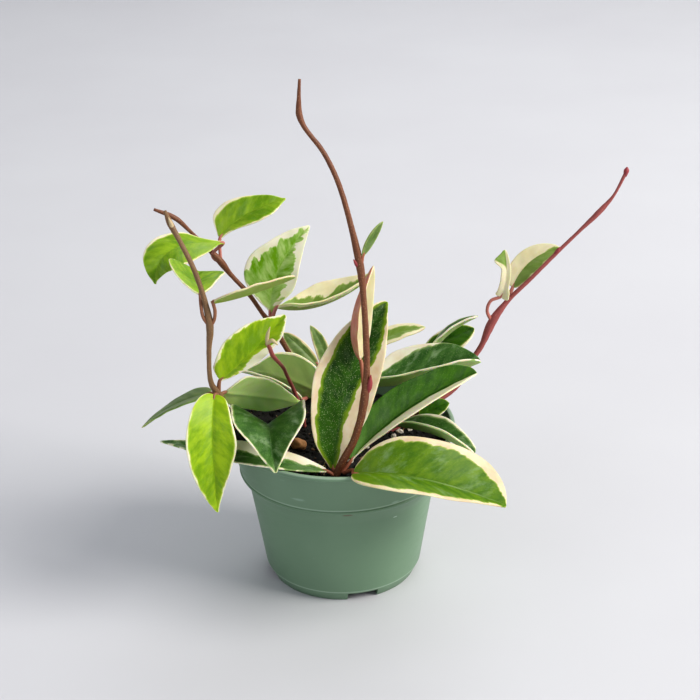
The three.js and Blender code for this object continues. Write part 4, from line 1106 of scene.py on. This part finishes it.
def lump(rng, centre, size, divisions):
    """Points and faces of one irregular grain."""
    work = bmesh.new()
    bmesh.ops.create_icosphere(work, subdivisions=divisions, radius=1)
    turn = Matrix.Rotation(rng.uniform(0, 2 * math.pi), 3, "Z")
    offset = Vector((rng.uniform(0, 50), rng.uniform(0, 50), 0))
    points = []
    for vertex in work.verts:
        bulge = 1 + 0.35 * noise.noise(vertex.co * 1.3 + offset)
        shaped = Vector(a * b for a, b in zip(vertex.co * bulge, size))
        points.append(Vector(centre) + turn @ shaped)
    faces = [tuple(v.index for v in face.verts) for face in work.faces]
    work.free()
    return points, faces


def make_crumbs(rng, peat, husk):
    """Crumbs of peat and a few brown husks, strewn on the soil."""
    solids = Solids()
    edge = inner_radius(SOIL_TOP) - SOIL_GAP - 1.5
    for i in range(CRUMBS + CHIPS):
        radius = edge * math.sqrt(rng.random())
        angle = rng.uniform(0, 2 * math.pi)
        x, y = radius * math.cos(angle), radius * math.sin(angle)
        size = rng.uniform(0.35, 1.3)
        flat = i >= CRUMBS
        shape = (size * 1.6, size * 0.9, size * 0.35) if flat else (
            size, size * rng.uniform(0.6, 1), size * rng.uniform(0.6, 0.9))
        centre = (x, y, soil_height(x, y) + shape[2] * 0.4)
        points, faces = lump(rng, centre, shape, 2 if size > 0.9 else 1)
        solids.add(points, faces, [(0, 0, 0)] * len(points), slot=1 if flat else 0)
    return piece("soil_crumbs", solids.points, solids.faces, [peat, husk], solids.slots)


def make_fibres(rng, straw):
    """Dry root fibres that curl up from the soil."""
    solids = Solids()
    for i in range(FIBRES):
        near_front = i < 5
        x = rng.uniform(-12, -6) if near_front else rng.uniform(-38, 40)
        y = rng.uniform(-38, -33) if near_front else rng.uniform(-36, 30)
        if math.hypot(x, y) > 44:
            continue
        z = soil_height(x, y)
        reach = rng.uniform(3, 7) if near_front else rng.uniform(1, 3)
        turn = rng.uniform(0, 2 * math.pi)
        route = [(x, y, z - 1, 0.16)]
        for step in range(1, 6):
            turn += rng.uniform(-0.9, 0.9)
            x += math.cos(turn) * reach / 5
            y += math.sin(turn) * reach / 5
            lift = math.sin(step / 5 * math.pi * 0.8) * reach * 0.7
            route.append((x, y, z + lift, 0.16 - 0.015 * step))
        solids.add(*tube(spline(route, 24), 6, 0, i))
    return piece("root_fibres", solids.points, solids.faces, [straw], None,
                 {"stem_mm": solids.marks})


def make_pebble(name, centre, size, rng, stone):
    points, faces = lump(rng, (0, 0, 0), size, 4)
    points = [place(p + Vector(centre)) for p in points]
    return piece(name + "_grain", points, faces, [stone])


# The plant

upper_skins = {key: waxy_blade("waxy leaf, " + key, look, False) for key, look in LOOKS.items()}
under_skins = {key: waxy_blade("leaf underside, " + key, look, True)
               for key, look in LOOKS.items()}
pink_look = dict(LOOKS["cream"], cream=PINK_UNDERSIDE, blush="c99684", under=PINK_UNDERSIDE)
under_skins["pink"] = waxy_blade("leaf underside, pink", pink_look, True)
for number, (leaf_name, row) in enumerate(LEAVES.items()):
    under_skin = under_skins[row.get("under", row["look"])]
    blade = make_leaf(leaf_name + "_blade", row, number, upper_skins[row["look"]], under_skin)
    dress(blade, leaf_name)

barks = {
    "bark": vine_bark("brown vine bark", "824f30", "553020", "b8966c", 0.5),
    "olive_stem": vine_bark("olive vine bark", "8c6d4c", "60482f", "b39a76", 0.35),
    "red_stem": vine_bark("red young stem", "a85c58", "7e3c38", "c98a7c", 0.25),
}
brown_stalk = vine_bark("brown leaf stalk", "a5624a", "84523a", "c99a80", 0.2)
olive_stalk = vine_bark("olive leaf stalk", "9a6a50", "7a5238", "c09a7c", 0.2)
pink_stalk = vine_bark("pink leaf stalk", "c07d70", "a35f55", "d8a898", 0.15)
stalk_skins = {"front_vine": brown_stalk, "back_vine": pink_stalk, "left_vine": olive_stalk,
               "red_shoot": pink_stalk, "right_vine": pink_stalk, "middle_shoot": brown_stalk}
red_bud = vine_bark("red bud scales", "a8474a", "7c3038", "c98484", 0.2)
pale_tip = vine_bark("pale young leaf tip", "c9a58c", "a9b07a", "e0d0b8", 0.2)
bud_skins = {"front_vine": red_bud, "red_shoot": pale_tip, "left_vine": pale_tip}
for vine_name, row in VINES.items():
    stem = make_vine(vine_name, row, barks[row["slot"]], stalk_skins[vine_name],
                     bud_skins.get(vine_name, red_bud))
    dress(stem, vine_name)

draws = random.Random(7)
peat = moist_peat("moist peat")
husk = grained_stone("bark husk", "4a3222", "7a5a40", 900)
dress(make_pot(moulded_polypropylene("moulded polypropylene")), "pot")
dress(make_soil(peat), "soil")
dress(make_crumbs(draws, peat, husk), None)
straw = vine_bark("dry root fibre", "c2a878", "8f7648", "d8c49c", 0.2)
dress(make_fibres(draws, straw), None)
stones = {
    "pebble": grained_stone("orange-brown pebble", "9a5f2c", "d0a070", 260),
    "perlite": grained_stone("expanded perlite", "b9aea0", "e6e0d6", 900),
}
for pebble_name, (kind, centre, size) in PEBBLES.items():
    grain = make_pebble(pebble_name, centre, size, draws, stones[kind])
    dress(grain, pebble_name)


# Studio

def make_floor():
    """A floor that sweeps up into a wall far behind the plant."""
    steps = [(-1.5, 0), (1.4, 0)]
    steps += [(1.4 + 0.6 * math.sin(a), 0.6 - 0.6 * math.cos(a))
              for a in [math.pi / 2 * i / 12 for i in range(1, 13)]]
    steps.append((2.0, 3))
    points = [(x, y, z) for y, z in steps for x in (-3, 3)]
    faces = [(2 * i, 2 * i + 1, 2 * i + 3, 2 * i + 2) for i in range(len(steps) - 1)]
    return piece("studio_floor", points, faces, [matt_paint("matt pale paint", "c1c2c7")])


def add_light(name, spot, size, power, colour):
    """A square soft box that faces the plant."""
    lamp = bpy.data.lights.new(name, "AREA")
    lamp.shape, lamp.size, lamp.energy = "SQUARE", size, power
    lamp.color = linear(colour)[:3]
    made = bpy.data.objects.new(name, lamp)
    made.location = spot
    made.rotation_euler = (Vector(LIT_PLACE) - Vector(spot)).to_track_quat("-Z", "Y").to_euler()
    bpy.context.scene.collection.objects.link(made)


def add_camera():
    pitch, yaw, roll = (math.radians(a) for a in (PITCH_DEG, YAW_DEG, ROLL_DEG))
    ahead = Vector((math.sin(yaw) * math.cos(pitch), math.cos(yaw) * math.cos(pitch),
                    -math.sin(pitch)))
    level = Vector((math.cos(yaw), -math.sin(yaw), 0))
    up = level.cross(ahead)
    right = level * math.cos(roll) + up * math.sin(roll)
    up = up * math.cos(roll) - level * math.sin(roll)
    turn = Matrix((right, up, -ahead)).transposed()
    data = bpy.data.cameras.new("front camera")
    data.lens, data.sensor_width = LENS, 36
    camera = bpy.data.objects.new("front camera", data)
    camera.matrix_world = Matrix.Translation(place(EYE)) @ turn.to_4x4()
    bpy.context.scene.collection.objects.link(camera)
    bpy.context.scene.camera = camera


make_floor()
for lamp_name, (spot, size, power, colour) in LAMPS.items():
    add_light(lamp_name, spot, size, power, colour)
world = bpy.data.worlds.new("studio")
world.use_nodes = True
world.node_tree.nodes["Background"].inputs["Color"].default_value = linear(SKY)
world.node_tree.nodes["Background"].inputs["Strength"].default_value = SKY_STRENGTH
bpy.context.scene.world = world
bpy.context.scene.view_settings.view_transform = "Standard"
bpy.context.scene.view_settings.look = "Medium High Contrast"
add_camera()
